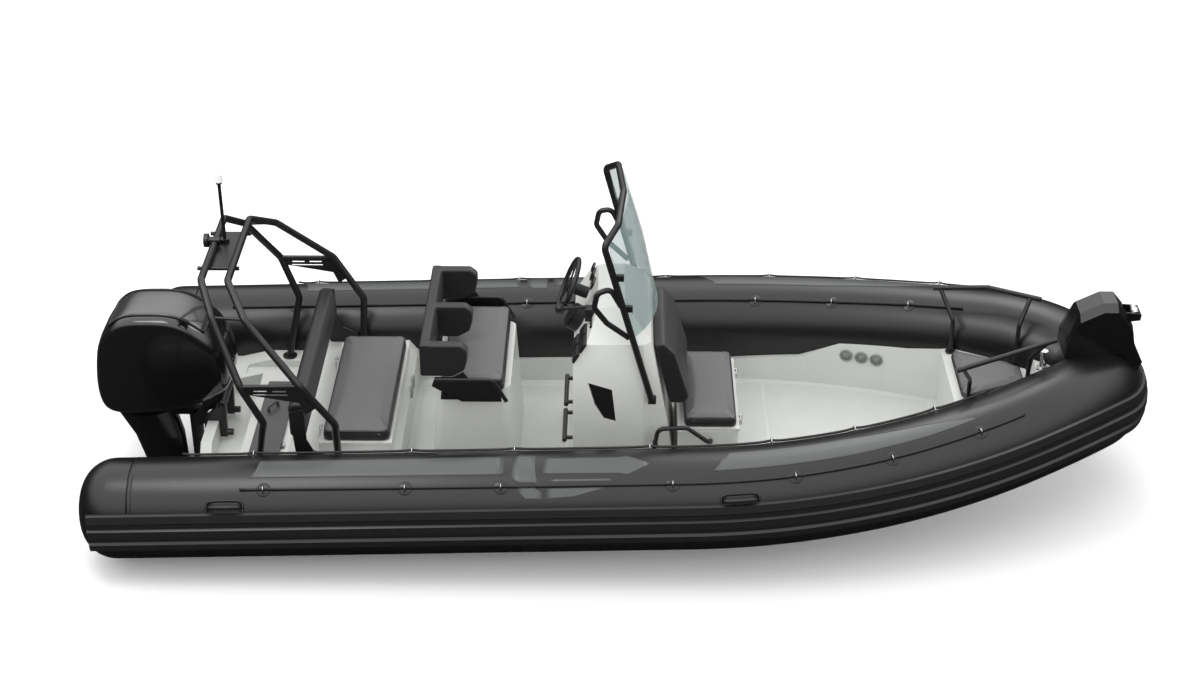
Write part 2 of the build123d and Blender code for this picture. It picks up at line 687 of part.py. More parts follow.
aft, fore, half, top = SEAT
seat_box = console_seat_base()
PARTS["console_seat_base"] = seat_box
PARTS["console_seat_lid"] = console_seat_lid()
PARTS["console_seat_cushion"] = cushion(aft + 36, fore - 14, half - 8, top + LID_LIFT + LID_THICK, SEAT_PAD)
PARTS["console_backrest"] = side_plate(SEAT_BACK, -SEAT_BACK_HALF, 2 * SEAT_BACK_HALF) - console
all_hinges = (hinges(*BENCH_PIN, BENCH_DECK_Z, 1, BENCH_HINGES) + hinges(*HATCH_PIN, STERN_DECK_Z, -1, HATCH_HINGES)
              + hinges(*BOW_PIN, BOW_DECK_Z, -1, BOW_HINGES)
              + hinges(*SEAT_PIN, top - 30, -1, SEAT_HINGES, fore))
PARTS["lid_hinges"] = Compound(children=[solid for hinge in all_hinges for solid in hinge.solids()])
GRAB = (-450, 395)      # y and foot height of the loop beside the console seat


def grab_rail():
    """The loop from the console's side to the seat's."""
    y, z = GRAB
    loop = pipe([(215, y, z - 20), (235, y, z + 110), (400, y, z + 120), (540, y, z + 10), (540, y + 60, z)], 13, 45)
    foot = block(205, 235, y - 6, -CONSOLE_HALF + 8, z - 15, z + 15)
    return (loop + foot) - console - seat_box


PARTS["grab_rail"] = grab_rail()

# ---------------------------------------------------------------- windscreen
SCREEN_PIPE = 19
FOOT = (196, 458, 700)              # starboard leg: foot, joint and knuckle, as x, y out, z
JOINT = (70, 462, 1110)
KNUCKLE = (-75, 495, 1704)
CROWN = ((0, 385, 1782), (30, 0, 1800))
LOOP = ((18, 476, 1325), (-40, 488, 1440), (-112, 503, 1420), (-130, 503, 1330), (-60, 488, 1225), (62, 464, 1118))
GLASS_THICK = 8
# Levels of the glass: height, x and distance out of its edge, x of its front
GLASS = ((1112, 98, 446, 232), (1300, 48, 458, 190), (1500, -1, 470, 148), (1705, -46, 478, 88))


def at(point, side=-1):
    x, y, z = point
    return x, side * y, z


def windscreen_frame():
    crown = [at(FOOT), at(KNUCKLE), at(CROWN[0]), CROWN[1], at(CROWN[0], 1), at(KNUCKLE, 1), at(FOOT, 1)]
    frame = pipe(crown, SCREEN_PIPE, 45)
    for side in (-1, 1):
        frame = frame + pipe([at(point, side) for point in LOOP], 16, 40)
        x, y, z = at(FOOT, side)
        frame = frame + Pos(x + 2, side * (CONSOLE_HALF + 12), z - 2) * Box(46, 24, 46)
        for level in GLASS[1:3]:
            z, x, y = level[0], level[1], side * level[2]
            frame = frame + Pos(x + 6, y, z) * Box(60, 26, 34)
    return frame - console


def glass_level(z, edge_x, edge_y, front_x):
    """The glass at one height: a bow in plan, front face and back face."""
    front = ThreePointArc((edge_x, -edge_y), (front_x, 0), (edge_x, edge_y))
    t = GLASS_THICK
    back = ThreePointArc((edge_x - t, edge_y - t / 2), (front_x - t, 0), (edge_x - t, -edge_y + t / 2))
    face = make_face([front, Line(front @ 1, back @ 0), back, Line(back @ 1, front @ 0)])
    return Pos(0, 0, z) * face


def windscreen(frame):
    sheet = loft([glass_level(*row) for row in GLASS], ruled=True)
    crest = loft([glass_level(*GLASS[-1]), glass_level(CROWN[1][2] - 8, CROWN[1][0] - 10, 330, CROWN[1][0] + 30)])
    return (sheet + crest) - frame - console


screen_frame = windscreen_frame()
PARTS["windscreen_frame"] = screen_frame
PARTS["windscreen"] = windscreen(screen_frame)


# ---------------------------------------------------------------- the stern arch
# One side of each hoop, from the middle of its top beam to its foot: x, y out, z.
AFT_HOOP = ((-2310, 0, 1425), (-2310, 378, 1425), (-2230, 570, 1293), (-2071, 763, 962),
            (-1970, 723, 706), (-2045, 640, STERN_DECK_Z))
FORE_HOOP = ((-2162, 0, 1420), (-2162, 381, 1420), (-2047, 589, 1289), (-1745, 757, 968),
             (-1571, 724, 700), (-1580, 640, BENCH_DECK_Z))
HOOP_BEND = 60
FOOT_PAD = (44, 8)      # radius and thickness of the pads that the hoops stand on


def hoop(points):
    """A hoop from foot to foot, each foot welded to its pad."""
    x, y, deck = points[-1]
    below = (x - 5, y - 5, deck - 60)
    side = [at(point) for point in (below, *reversed(points[1:]))]
    port = [(x, -y, z) for x, y, z in reversed(side)]
    body = pipe(side + port, PIPE_R, HOOP_BEND) - block(x - 200, x + 200, -TUBE_Y, TUBE_Y, deck - 200, deck)
    for out in (-y, y):
        body = body + rod_z(x, out, deck, deck + FOOT_PAD[1], FOOT_PAD[0])
    return body


aft_hoop = hoop(AFT_HOOP) - tube_starboard - tube_port
fore_hoop = hoop(FORE_HOOP) - tube_starboard - tube_port
PARTS["arch_aft_hoop"] = aft_hoop
PARTS["arch_fore_hoop"] = fore_hoop
KNEE_Z = 958


def knee_plate():
    """The slotted plate and its top bar that tie the two hoops at the knee."""
    x0, x1 = AFT_HOOP[3][0], FORE_HOOP[3][0]
    outline = [(x0 - 4, KNEE_Z), (x1, KNEE_Z), (x1 + 78, KNEE_Z - 132), (x1 + 22, KNEE_Z - 170),
               (x1 - 10, KNEE_Z - 95), (x0 + 22, KNEE_Z - 42)]
    plate = side_plate(outline, -AFT_HOOP[3][1] + 2, 6)
    for k in range(2):
        aft = x0 + 70 + 105 * k
        plate = plate - block(aft, aft + 75, -TUBE_Y, 0, KNEE_Z - 26, KNEE_Z - 17)
    plate = plate - block(x0 + 66, x1 - 70, -TUBE_Y, 0, KNEE_Z - 48, KNEE_Z - 40)
    bar = pipe([(x0, -AFT_HOOP[3][1] + 4, KNEE_Z + 6), (x1, -FORE_HOOP[3][1] + 2, KNEE_Z + 8)], 13, 1)
    return plate + bar - aft_hoop - fore_hoop


def arch_stay():
    """The thin stay between the hoops, under the top beam."""
    stay = pipe([(-2232, -567, 1292), (-2047, -586, 1290)], 9, 1)
    return stay - aft_hoop - fore_hoop


PARTS["arch_knee_plates"] = both_sides(knee_plate())
PARTS["arch_stays"] = both_sides(arch_stay())
TOP_PLATE = (-2352, -2140, -178, 232)       # x, x, y, y
TOP_PLATE_Z = AFT_HOOP[0][2] - PIPE_R       # its top, under the hoops' beams
MAST = (-2262, 120, 384, 10)                # x, y, height over the plate, radius
HORN = (-2368, 66, 36)                      # x of its mouth, y, height over the plate


def arch_top_plate():
    """The plate that carries the horn and the light mast, with a bar at each end."""
    x0, x1, y0, y1 = TOP_PLATE
    z = TOP_PLATE_Z
    plate = block(x0 + 12, x1 - 12, y0, y1, z - 8, z)
    for y in (y0 - 8, y1 + 8):
        plate = plate + pipe([(x0 - 14, y, z - 10), (x1 + 8, y, z - 10)], 12, 1)
    return plate - aft_hoop - fore_hoop


def light_mast():
    x, y, high, radius = MAST
    z = TOP_PLATE_Z
    return rod_z(x, y, z, z + high, radius) + rod_z(x, y, z, z + 22, 26) + rod_z(x, y, z + high - 14, z + high, 18)


def horn():
    x, y, up = HORN
    z = TOP_PLATE_Z + up
    mouth = Pos(x + 12, y, z) * Rot(0, 90, 0) * Cylinder(40, 24)
    body = Pos(x + 55, y, z) * Rot(0, 90, 0) * Cylinder(22, 70)
    foot = block(x + 30, x + 52, y - 14, y + 14, TOP_PLATE_Z, z)
    return (mouth + body + foot) - aft_hoop


PARTS["arch_top_plate"] = arch_top_plate()
PARTS["light_mast"] = light_mast()
PARTS["light_head"] = rod_z(MAST[0], MAST[1], TOP_PLATE_Z + MAST[2], TOP_PLATE_Z + MAST[2] + 44, 24)
PARTS["horn"] = horn()

# ---------------------------------------------------------------- bow fittings
BOW_RAIL = ((1900, 481, 924), (2206, 392, 979), (2495, 238, 984))
RAIL_POSTS = ((1938, 472, 930, 2010, 330, BOW_DECK_Z), (2440, 268, 983, 2372, 176, BOW_DECK_Z))
POST_FOOT = (32, 8)


def bow_rail():
    """The starboard bow rail on its two bent posts."""
    rail = pipe([at(point) for point in BOW_RAIL], RAIL_R, 60)
    for x0, y0, z0, x1, y1, foot in RAIL_POSTS:
        rail = rail + pipe([(x0, -y0, z0), (x1, -y1 - 10, z0 - 150), (x1, -y1, foot)], RAIL_R - 2, 50)
        rail = rail + rod_z(x1, -y1, foot, foot + POST_FOOT[1], POST_FOOT[0])
    return max((rail - tube_starboard - deck_liner).solids(), key=lambda solid: solid.volume)


PARTS["bow_rails"] = both_sides(bow_rail())
BITT = (2495, 112)      # x, height over its step


def bow_bitt():
    """The mooring post on the bow step: flange, post, cap and cross bar."""
    x, high = BITT
    z = BITT_STEP[1] + 2
    post = rod_z(x, 0, z - 10, z + 10, 34) + rod_z(x, 0, z, z + high, 19) + rod_z(x, 0, z + high - 8, z + high + 10, 24)
    return (post + rod_y(x, z + high / 2, -48, 48, 8)) - deck_liner - tube_starboard - tube_port


PARTS["bow_bitt"] = bow_bitt()

# The moulded housing on the bow: x from the tip of the centreline, z from the crest of the tubes.
CREST = TIP.Z + TUBE_R
HOUSING_HALF = 118
HOUSING_CROWN = 38      # how far its sides fall below its middle
HOUSING = ((-220, -30), (-218, 70), (-155, 245), (-26, 312), (54, 312), (109, 246), (156, 170), (172, 70),
           (230, -50), (140, -TUBE_R))
ROLLER = (178, 212, 30, 84)     # x, z, radius, length of the anchor roller
ROLLER_PIN_R = 7
SLOT_GAP = 5            # round the roller


def bow_housing():
    """The housing, ruled over four profiles, with the cheeks and the pin of the roller."""
    crown = [(TIP.X + x, CREST + z) for x, z in HOUSING]
    side = [(x, z - HOUSING_CROWN * max(0, min(1, (z - CREST) / 200))) for x, z in crown]
    levels = ((-HOUSING_HALF, side), (-0.6 * HOUSING_HALF, crown), (0.6 * HOUSING_HALF, crown), (HOUSING_HALF, side))
    body = loft([make_face(Polyline(*[(x, y, z) for x, z in points], close=True)) for y, points in levels], ruled=True)
    x, z, radius, length = TIP.X + ROLLER[0], CREST + ROLLER[1], *ROLLER[2:]
    half = length / 2 + SLOT_GAP
    slot = block(x - radius - 4 * SLOT_GAP, x + 5 * radius, -half, half, z - radius - 2 * SLOT_GAP, z + 5 * radius)
    cheek = [(x - 110, z - 40), (x + 24, z - 22), (x + 24, z + 20), (x - 60, z + 28)]
    cheeks = fuse([side_plate(cheek, y, 8) for y in (-half - 8, half)])
    pin = rod_y(x, z, -half - 8, half + 8, ROLLER_PIN_R)
    return (body - slot + cheeks + pin) - tube_starboard - tube_port - deck_liner


def bow_roller():
    x, z, radius, length = TIP.X + ROLLER[0], CREST + ROLLER[1], *ROLLER[2:]
    groove = Pos(x, 0, z) * Rot(90, 0, 0) * Torus(radius + 6, 14)
    bore = rod_y(x, z, -length, length, ROLLER_PIN_R + PIN_GAP)
    return rod_y(x, z, -length / 2, length / 2, radius) - groove - bore


PARTS["bow_housing"] = bow_housing()
PARTS["bow_roller"] = bow_roller()

# Towing eyes: a plate with a bore, on the stem and one each side on the transom.
EYE_HOLE_R = 15
EYE_R = 34
EYE_THICK = 12
STERN_EYE = (-70, 560, 120)     # x from the transom, y out, z
BOW_EYE = (2680, 75)            # x, z


def eye(x, z, root_x):
    """An upright plate on the middle line, from its root to the eye."""
    half = EYE_THICK / 2
    lug = rod_y(x, z, -half, half, EYE_R) + block(*sorted((x, root_x)), -half, half, z - EYE_R, z + EYE_R)
    return lug - rod_y(x, z, -EYE_THICK, EYE_THICK, EYE_HOLE_R)


def level_eye(x, y, z, root_x):
    """A level plate from its root to the eye."""
    top = z + EYE_THICK / 2
    lug = rod_z(x, y, z - EYE_THICK / 2, top, EYE_R)
    lug = lug + block(*sorted((x, root_x)), y - EYE_R, y + EYE_R, z - EYE_THICK / 2, top)
    return lug - rod_z(x, y, z - EYE_THICK, z + EYE_THICK, EYE_HOLE_R)


eyes = [level_eye(TRANSOM_X + STERN_EYE[0], y, STERN_EYE[2], TRANSOM_X) for y in (-STERN_EYE[1], STERN_EYE[1])]
eyes.append(eye(*BOW_EYE, BOW_EYE[0] - 110) - PARTS["hull"])
PARTS["towing_eyes"] = Compound(children=[max(one.solids(), key=lambda solid: solid.center().X ** 2) for one in eyes])

# ---------------------------------------------------------------- the motor
# Modelled about the kingpin: x from its axis, z from the transom's top.
MOTOR = Pos(TRANSOM_X - 100, 0, TRANSOM_TOP)
T_AFT = 100                     # faces of the transom
T_FORE = T_AFT + TRANSOM_THICK
TILT = (185, 100)               # x and z of the tilt pin
TILT_PIN_R = 14
CLAMP_Y = (112, 140)            # inner and outer face of each clamp bracket
KINGPIN_R = 16
SWIVEL_R = 38
SWIVEL_Z = (-435, -15)          # bottom and top of the swivel tube
YOKE = (46, 36, 1)              # radius, height and clearance of the yokes on the kingpin
PROP_Z = -905
PLATE_Z = -685                  # anti-ventilation plate
LEG_FORE = -72                  # fore edge of the leg's lower part


def clamp_bracket():
    """One of the two brackets that hook over the transom, with its screw."""
    x, z = TILT
    plate = side_plate([(x - 30, z - 12), (x - 20, z + 22), (x, z + 30), (x + 22, z + 20), (x + 30, z),
                        (x + 22, -110), (T_FORE + GAP, -110), (T_FORE + GAP, GAP), (T_AFT - GAP, GAP), (T_AFT - GAP, -325),
                        (T_AFT - 22, -325), (T_AFT - 22, 20)], -CLAMP_Y[1], CLAMP_Y[1] - CLAMP_Y[0])
    screw_y = -(CLAMP_Y[0] + CLAMP_Y[1]) / 2
    screw = Pos(x + 37, screw_y, -85) * Rot(0, 90, 0) * Cylinder(20, 40)
    return plate + screw - rod_y(x, z, -CLAMP_Y[1] - 1, 0, TILT_PIN_R + PIN_GAP)


def swivel_bracket():
    """The bracket that tilts on the pin and carries the motor's steering tube."""
    x, z = TILT
    bottom, top = SWIVEL_Z
    barrel = rod_y(x, z, -CLAMP_Y[0] + 2, CLAMP_Y[0] - 2, 30)
    arm = side_plate([(x - 10, z - 29), (x - 10, z + 5), (30, top + 40), (0, top), (0, top - 70), (60, top - 50),
                      (T_AFT - 18, 22)], -70, 140)
    clear = rod_z(0, 0, top, top + 200, YOKE[0] + 10)
    tube = rod_z(0, 0, bottom, top, SWIVEL_R)
    bores = rod_z(0, 0, bottom - 1, top + 1, KINGPIN_R + PIN_GAP) + rod_y(x, z, -200, 200, TILT_PIN_R + PIN_GAP)
    return (barrel + arm - clear + tube) - bores


# The leg, from under the cowl down to the gearcase: height, fore x, aft x, half width.
LEG = ((17, -120, -465, 118), (-165, -80, -375, 100), (-345, LEG_FORE, -330, 72), (PLATE_Z, LEG_FORE, -316, 42))
LOWER = ((PLATE_Z, LEG_FORE - 8, -316, 36), (PROP_Z, LEG_FORE - 8, -310, 22))
VENT_PLATE = (-255, 470, 270, 14)       # middle x, length, width, thickness
TORPEDO = (-25, 54, 290)                # x of its fore end, radius, length of its straight part
SHAFT_LONG = 70
HUB_LONG = 116


def leg_levels(rows):
    return loft([Pos((fore + aft) / 2, 0, z) * Ellipse((fore - aft) / 2, half) for z, fore, aft, half in rows],
                ruled=True)


def motor_leg():
    """The leg with its anti-ventilation plate, its two yokes and the kingpin."""
    middle, length, width, thick = VENT_PLATE
    body = leg_levels(LEG) + Pos(middle, 0, PLATE_Z) * extrude(SlotOverall(length, width), amount=thick)
    bottom, top = SWIVEL_Z
    radius, high, gap = YOKE
    for z0, z1 in ((top + gap, top + gap + high), (bottom - gap - high, bottom - gap)):
        body = body + block(-160, 0, -radius, radius, z0, z1) + rod_z(0, 0, z0, z1, radius)
    return body + rod_z(0, 0, bottom - 2 * gap, top + 2 * gap, KINGPIN_R)


def gearcase():
    """The lower leg with its torpedo, skeg and propeller shaft."""
    x, radius, length = TORPEDO
    aft = x - 60 - length
    torpedo = Pos(x - 60 - length / 2, 0, PROP_Z) * Rot(0, 90, 0) * Cylinder(radius, length)
    nose = Pos(x - 60, 0, PROP_Z) * Rot(0, 90, 0) * Cone(radius, 12, 60, align=(Align.CENTER, Align.CENTER, Align.MIN))
    skeg = side_plate([(x - 75, PROP_Z - 30), (x - 155, PROP_Z - 215), (x - 260, PROP_Z - 240),
                       (x - 297, PROP_Z - 170), (x - 290, PROP_Z - 30)], -7, 14)
    shaft = Pos(aft - SHAFT_LONG / 2, 0, PROP_Z) * Rot(0, 90, 0) * Cylinder(12, SHAFT_LONG)
    return leg_levels(LOWER) + torpedo + nose + skeg + shaft


# The cowl in four profiles, x and z: on its crown and on its sides.
COWL_HALF = 214
COWL_CROWN_HALF = 110
COWL_CROWN = ((-546, 85), (-552, 505), (-385, 740), (-180, 774), (20, 740), (200, 555), (264, 295),
              (200, 185), (0, 91), (-180, 27))
COWL_SIDE = ((-510, 105), (-500, 470), (-365, 630), (-180, 660), (30, 630), (150, 505), (220, 305),
             (175, 215), (-10, 117), (-180, 55))


def motor_cowl():
    """The cowl, ruled over its side and crown profiles."""
    levels = ((-COWL_HALF, COWL_SIDE), (-COWL_CROWN_HALF, COWL_CROWN), (COWL_CROWN_HALF, COWL_CROWN), (COWL_HALF, COWL_SIDE))
    return loft([make_face(Polyline(*[(x, y, z) for x, z in points], close=True)) for y, points in levels], ruled=True)


BLADES = 3
BLADE = (118, 62, 76, 10, 58)           # middle radius, half width, half length, thickness, pitch


def propeller():
    """Hub and raked blades, bored for the shaft."""
    radius, half_wide, half_long, thick, pitch = BLADE
    along = Rot(0, 90, 0)
    body = along * Cylinder(46, HUB_LONG)
    ear = extrude(Pos(0, radius) * Ellipse(half_wide, half_long), amount=thick / 2, both=True)
    for k in range(BLADES):
        body = body + Rot(360 / BLADES * k, 0, 0) * Rot(0, pitch, 0) * ear
    bore = along * Cylinder(12 + PIN_GAP, 2 * HUB_LONG)
    x, _, length = TORPEDO
    return Pos(x - 60 - length - 3 - HUB_LONG / 2, 0, PROP_Z) * (body - bore)


leg = motor_leg()
cowl = motor_cowl()
MOTOR_PARTS = {
    "clamp_brackets": both_sides(clamp_bracket()),
    "tilt_pin": rod_y(*TILT, -CLAMP_Y[1] - 30, CLAMP_Y[1] + 30, TILT_PIN_R),
    "swivel_bracket": swivel_bracket(),
    "motor_leg": leg - cowl,
    "motor_cowl": cowl,
    "gearcase": gearcase() - leg,
    "propeller": propeller(),
}
for name, shape in MOTOR_PARTS.items():
    PARTS[name] = MOTOR * shape

os.makedirs("parts", exist_ok=True)
for name, shape in PARTS.items():
    export_step(shape, f"parts/{name}.step")
    print(name, round(shape.volume / 1e6, 2), len(shape.solids()), shape.is_valid)
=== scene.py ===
import bpy
import bmesh
import json
import math
from mathutils import Matrix, Vector
from mathutils.bvhtree import BVHTree


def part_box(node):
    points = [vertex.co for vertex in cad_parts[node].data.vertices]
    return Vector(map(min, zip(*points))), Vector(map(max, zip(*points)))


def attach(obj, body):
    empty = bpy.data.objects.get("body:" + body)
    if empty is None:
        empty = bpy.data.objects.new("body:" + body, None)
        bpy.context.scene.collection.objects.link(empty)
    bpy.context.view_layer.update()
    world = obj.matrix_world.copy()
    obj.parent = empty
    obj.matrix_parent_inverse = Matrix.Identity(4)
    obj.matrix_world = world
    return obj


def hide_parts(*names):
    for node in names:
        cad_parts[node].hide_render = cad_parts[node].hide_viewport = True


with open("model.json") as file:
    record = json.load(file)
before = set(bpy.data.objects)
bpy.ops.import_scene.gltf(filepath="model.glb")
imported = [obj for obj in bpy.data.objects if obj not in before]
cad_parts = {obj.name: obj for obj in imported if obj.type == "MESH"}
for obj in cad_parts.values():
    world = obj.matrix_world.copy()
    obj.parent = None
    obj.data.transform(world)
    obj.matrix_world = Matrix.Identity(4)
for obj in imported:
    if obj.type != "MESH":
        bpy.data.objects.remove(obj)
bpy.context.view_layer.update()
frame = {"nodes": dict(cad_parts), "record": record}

# ------------------------------------------------------------------ the studio
# A pale floor at the waterline, a level white dome and two soft boxes overhead,
# with the camera off the boat's starboard side, above it.
CAMERA_AT = (0.002, -10.155, 6.774)
CAMERA_TURN = 0.588     # degrees
CAMERA_DOWN = 30.62
FOCAL = 60.43
DOME = 1.24             # the dome's level for diffuse light
BRIGHT, HORIZON = 1.75, 0.05    # what gloss sees overhead and at the horizon
FLOOR_HALF = 60
SOFT_BOXES = (((-3.2, -1.5, 6.5), 2.4, 90), ((2.5, 5.0, 6.0), 3.0, 80))     # place, width, watts


def linear(code):
    """An sRGB hex colour as linear RGBA."""
    parts = [int(code[i:i + 2], 16) / 255 for i in (1, 3, 5)]
    return tuple(p / 12.92 if p <= 0.04045 else ((p + 0.055) / 1.055) ** 2.4 for p in parts) + (1,)


def add(tree, kind, values=None, links=None, **settings):
    """A shader node with its settings, its constants and what feeds it."""
    made = tree.nodes.new(kind)
    for key, value in settings.items():
        setattr(made, key, value)
    for key, value in (values or {}).items():
        made.inputs[key].default_value = value
    for key, source in (links or {}).items():
        tree.links.new(source, made.inputs[key])
    return made


def studio_world():
    """White for the camera; for reflections, bright overhead and dark at the horizon."""
    world = bpy.data.worlds.new("studio")
    bpy.context.scene.world = world
    world.use_nodes = True
    tree = world.node_tree
    tree.nodes.clear()
    way = add(tree, "ShaderNodeSeparateXYZ", links={0: add(tree, "ShaderNodeTexCoord").outputs["Generated"]})
    high = add(tree, "ShaderNodeMapRange",
               {"From Min": 0.16, "From Max": 0.62, "To Min": HORIZON, "To Max": BRIGHT},
               {"Value": way.outputs["Z"]}, interpolation_type="SMOOTHSTEP")
    path = add(tree, "ShaderNodeLightPath")
    level = add(tree, "ShaderNodeMix", {2: DOME}, {0: path.outputs["Is Glossy Ray"], 3: high.outputs[0]})
    seen = add(tree, "ShaderNodeMath", operation="MAXIMUM",
               links={0: path.outputs["Is Camera Ray"], 1: path.outputs["Is Transmission Ray"]})
    strength = add(tree, "ShaderNodeMix", {3: 1.0}, {0: seen.outputs[0], 2: level.outputs[0]})
    back = add(tree, "ShaderNodeBackground", {"Color": (1, 1, 1, 1)}, {"Strength": strength.outputs[0]})
    add(tree, "ShaderNodeOutputWorld", links={"Surface": back.outputs[0]})


def studio_floor():
    """White paper: it keeps the shadow, and is dark in reflections."""
    work = bmesh.new()
    bmesh.ops.create_grid(work, x_segments=1, y_segments=1, size=FLOOR_HALF)
    mesh = bpy.data.meshes.new("floor")
    work.to_mesh(mesh)
    floor = bpy.data.objects.new("floor", mesh)
    bpy.context.scene.collection.objects.link(floor)
    paper = bpy.data.materials.new("floor_paper")
    paper.use_nodes = True
    tree = paper.node_tree
    tree.nodes.clear()
    path = add(tree, "ShaderNodeLightPath")
    white = add(tree, "ShaderNodeBsdfDiffuse", {"Color": (1, 1, 1, 1)})
    lift = add(tree, "ShaderNodeEmission", {"Color": (1, 1, 1, 1), "Strength": 0.045})
    shown = add(tree, "ShaderNodeAddShader", links={0: white.outputs[0], 1: lift.outputs[0]})
    dark = add(tree, "ShaderNodeBsdfDiffuse", {"Color": (0.03, 0.03, 0.03, 1)})
    mixed = add(tree, "ShaderNodeMixShader", links={0: path.outputs["Is Glossy Ray"], 1: shown.outputs[0],
                                                    2: dark.outputs[0]})
    add(tree, "ShaderNodeOutputMaterial", links={"Surface": mixed.outputs[0]})
    mesh.materials.append(paper)


studio_world()
studio_floor()
bpy.context.scene.view_settings.view_transform = "Standard"
lens = bpy.data.cameras.new("camera")
lens.lens, lens.sensor_width, lens.clip_end = FOCAL, 36, 200
camera = bpy.data.objects.new("camera", lens)
camera.location = CAMERA_AT
camera.rotation_euler = (math.radians(90 - CAMERA_DOWN), 0, math.radians(CAMERA_TURN))
bpy.context.scene.collection.objects.link(camera)
bpy.context.scene.camera = camera
for place, width, power in SOFT_BOXES:
    lamp = bpy.data.lights.new("soft_box", "AREA")
    lamp.shape, lamp.size, lamp.energy = "SQUARE", width, power
    box = bpy.data.objects.new("soft_box", lamp)
    box.location = place
    box.rotation_euler = Vector(place).to_track_quat("Z", "Y").to_euler()
    bpy.context.scene.collection.objects.link(box)


# ------------------------------------------------------------------ the air collar
# Two tubes of rubber-coated fabric, 0.56 m thick, that meet at the bow. Grey wear
# patches, grips and ring patches are glued on, and two grab lines run through rings.
def finish(name, code, roughness, bump=None, mottle=0.05, **values):
    """A Principled finish, a little uneven in tone; BUMP is a noise scale and a height in metres."""
    made = bpy.data.materials.new(name)
    made.use_nodes = True
    tree = made.node_tree
    shader = tree.nodes["Principled BSDF"]
    place = add(tree, "ShaderNodeTexCoord").outputs["Object"]
    cloud = add(tree, "ShaderNodeTexNoise", {"Scale": 7.0, "Detail": 4.0}, {"Vector": place}).outputs[0]
    base = linear(code)
    tone = add(tree, "ShaderNodeMix", {6: tuple(c * (1 - mottle) for c in base[:3]) + (1,),
                                       7: tuple(min(c * (1 + mottle), 1) for c in base[:3]) + (1,)},
               {0: cloud}, data_type="RGBA")
    tree.links.new(tone.outputs[2], shader.inputs["Base Color"])
    rough = add(tree, "ShaderNodeMapRange", {"To Min": roughness - 0.03, "To Max": roughness + 0.03},
                {"Value": cloud})
    tree.links.new(rough.outputs[0], shader.inputs["Roughness"])
    for key, value in values.items():
        shader.inputs[key.replace("_", " ")].default_value = value
    if bump:
        grain = add(tree, "ShaderNodeTexNoise", {"Scale": bump[0], "Detail": 3.0}, {"Vector": place})
        relief = add(tree, "ShaderNodeBump", {"Strength": 0.6, "Distance": bump[1]},
                     {"Height": grain.outputs[0]})
        tree.links.new(relief.outputs[0], shader.inputs["Normal"])
    return made


# coated fabric, satin: a dark cloth whose top takes a broad soft sheen
FABRIC = finish("tube_fabric_satin", "#0e0e0f", 0.31, (900, 0.00004))
# the same fabric in grey, glued on where feet and fenders rub
PATCH = finish("tube_patch_grey", "#4c4f4e", 0.36, (900, 0.00004))
# moulded rubber: the grips, and the switches on the dash
RUBBER = finish("rubber_black", "#151515", 0.45)
# polished stainless steel: small bright rings, hinges and bitt
STEEL = finish("polished_steel", "#c9c9c9", 0.16, Metallic=1.0)
# braided black polyester
ROPE = finish("rope_black", "#171717", 0.62, (700, 0.0006))


def make(name, work, material, body="boat", smooth=True, stands_for=()):
    """A finished piece from a bmesh, which rides on a body."""
    bmesh.ops.remove_doubles(work, verts=work.verts, dist=1e-6)
    bmesh.ops.recalc_face_normals(work, faces=work.faces)
    mesh = bpy.data.meshes.new(name)
    work.to_mesh(mesh)
    mesh.materials.append(material)
    for face in mesh.polygons:
        face.use_smooth = smooth
    piece = bpy.data.objects.new(name, mesh)
    bpy.context.scene.collection.objects.link(piece)
    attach(piece, body)
    if stands_for:
        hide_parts(*stands_for)
    return piece


def skinned(rings):
    """A closed body: a face on the first ring of points, extruded to each of the others."""
    work = bmesh.new()
    verts = [work.verts.new(point) for point in rings[0]]
    loop = [work.edges.new((verts[k - 1], verts[k])) for k in range(len(verts))]
    bmesh.ops.contextual_create(work, geom=loop)
    turn = {vert: k for k, vert in enumerate(verts)}
    for ring_points in rings[1:]:
        made = bmesh.ops.extrude_edge_only(work, edges=loop)["geom"]
        loop = [part for part in made if isinstance(part, bmesh.types.BMEdge)]
        fresh = {part for part in made if isinstance(part, bmesh.types.BMVert)}
        turn = {vert: turn[next(e.other_vert(vert) for e in vert.link_edges if e.other_vert(vert) in turn)]
                for vert in fresh}
        for vert, k in turn.items():
            vert.co = ring_points[k]
    bmesh.ops.contextual_create(work, geom=loop)
    return work


def hose(points, radius, sides=10):
    """A round bar along a line of points, closed at both ends."""
    points = [Vector(p) for p in points]
    rings, across = [], None
    for i, p in enumerate(points):
        way = (points[min(i + 1, len(points) - 1)] - points[max(i - 1, 0)]).normalized()
        if across is None:
            across = way.orthogonal().normalized()
        across = (across - way * across.dot(way)).normalized()
        other = way.cross(across)
        angles = [2 * math.pi * k / sides for k in range(sides)]
        rings.append([p + radius * (math.cos(a) * across + math.sin(a) * other) for a in angles])
    return skinned(rings)


def sheet(across, along, outer, inner):
    """A thin sheet on a grid: OUTER and INNER give the points of its two faces."""
    work = bmesh.new()
    bmesh.ops.create_grid(work, x_segments=across, y_segments=along, size=0.5)
    bmesh.ops.extrude_face_region(work, geom=work.faces[:], use_keep_orig=True)
    raised = set()
    for vert in work.verts:
        column, row = round((vert.co.x + 0.5) * across), round((vert.co.y + 0.5) * along)
        side = inner if (column, row) in raised else outer
        raised.add((column, row))
        vert.co = side(column, row)
    return work


def joined(works):
    """Several bodies as one."""
    whole = bmesh.new()
    for work in works:
        mesh = bpy.data.meshes.new("part")
        work.to_mesh(mesh)
        whole.from_mesh(mesh)
        bpy.data.meshes.remove(mesh)
    return whole


def mirrored(work):
    """The port twin of a starboard body."""
    twin = work.copy()
    bmesh.ops.scale(twin, vec=(1, -1, 1), verts=twin.verts)
    return twin


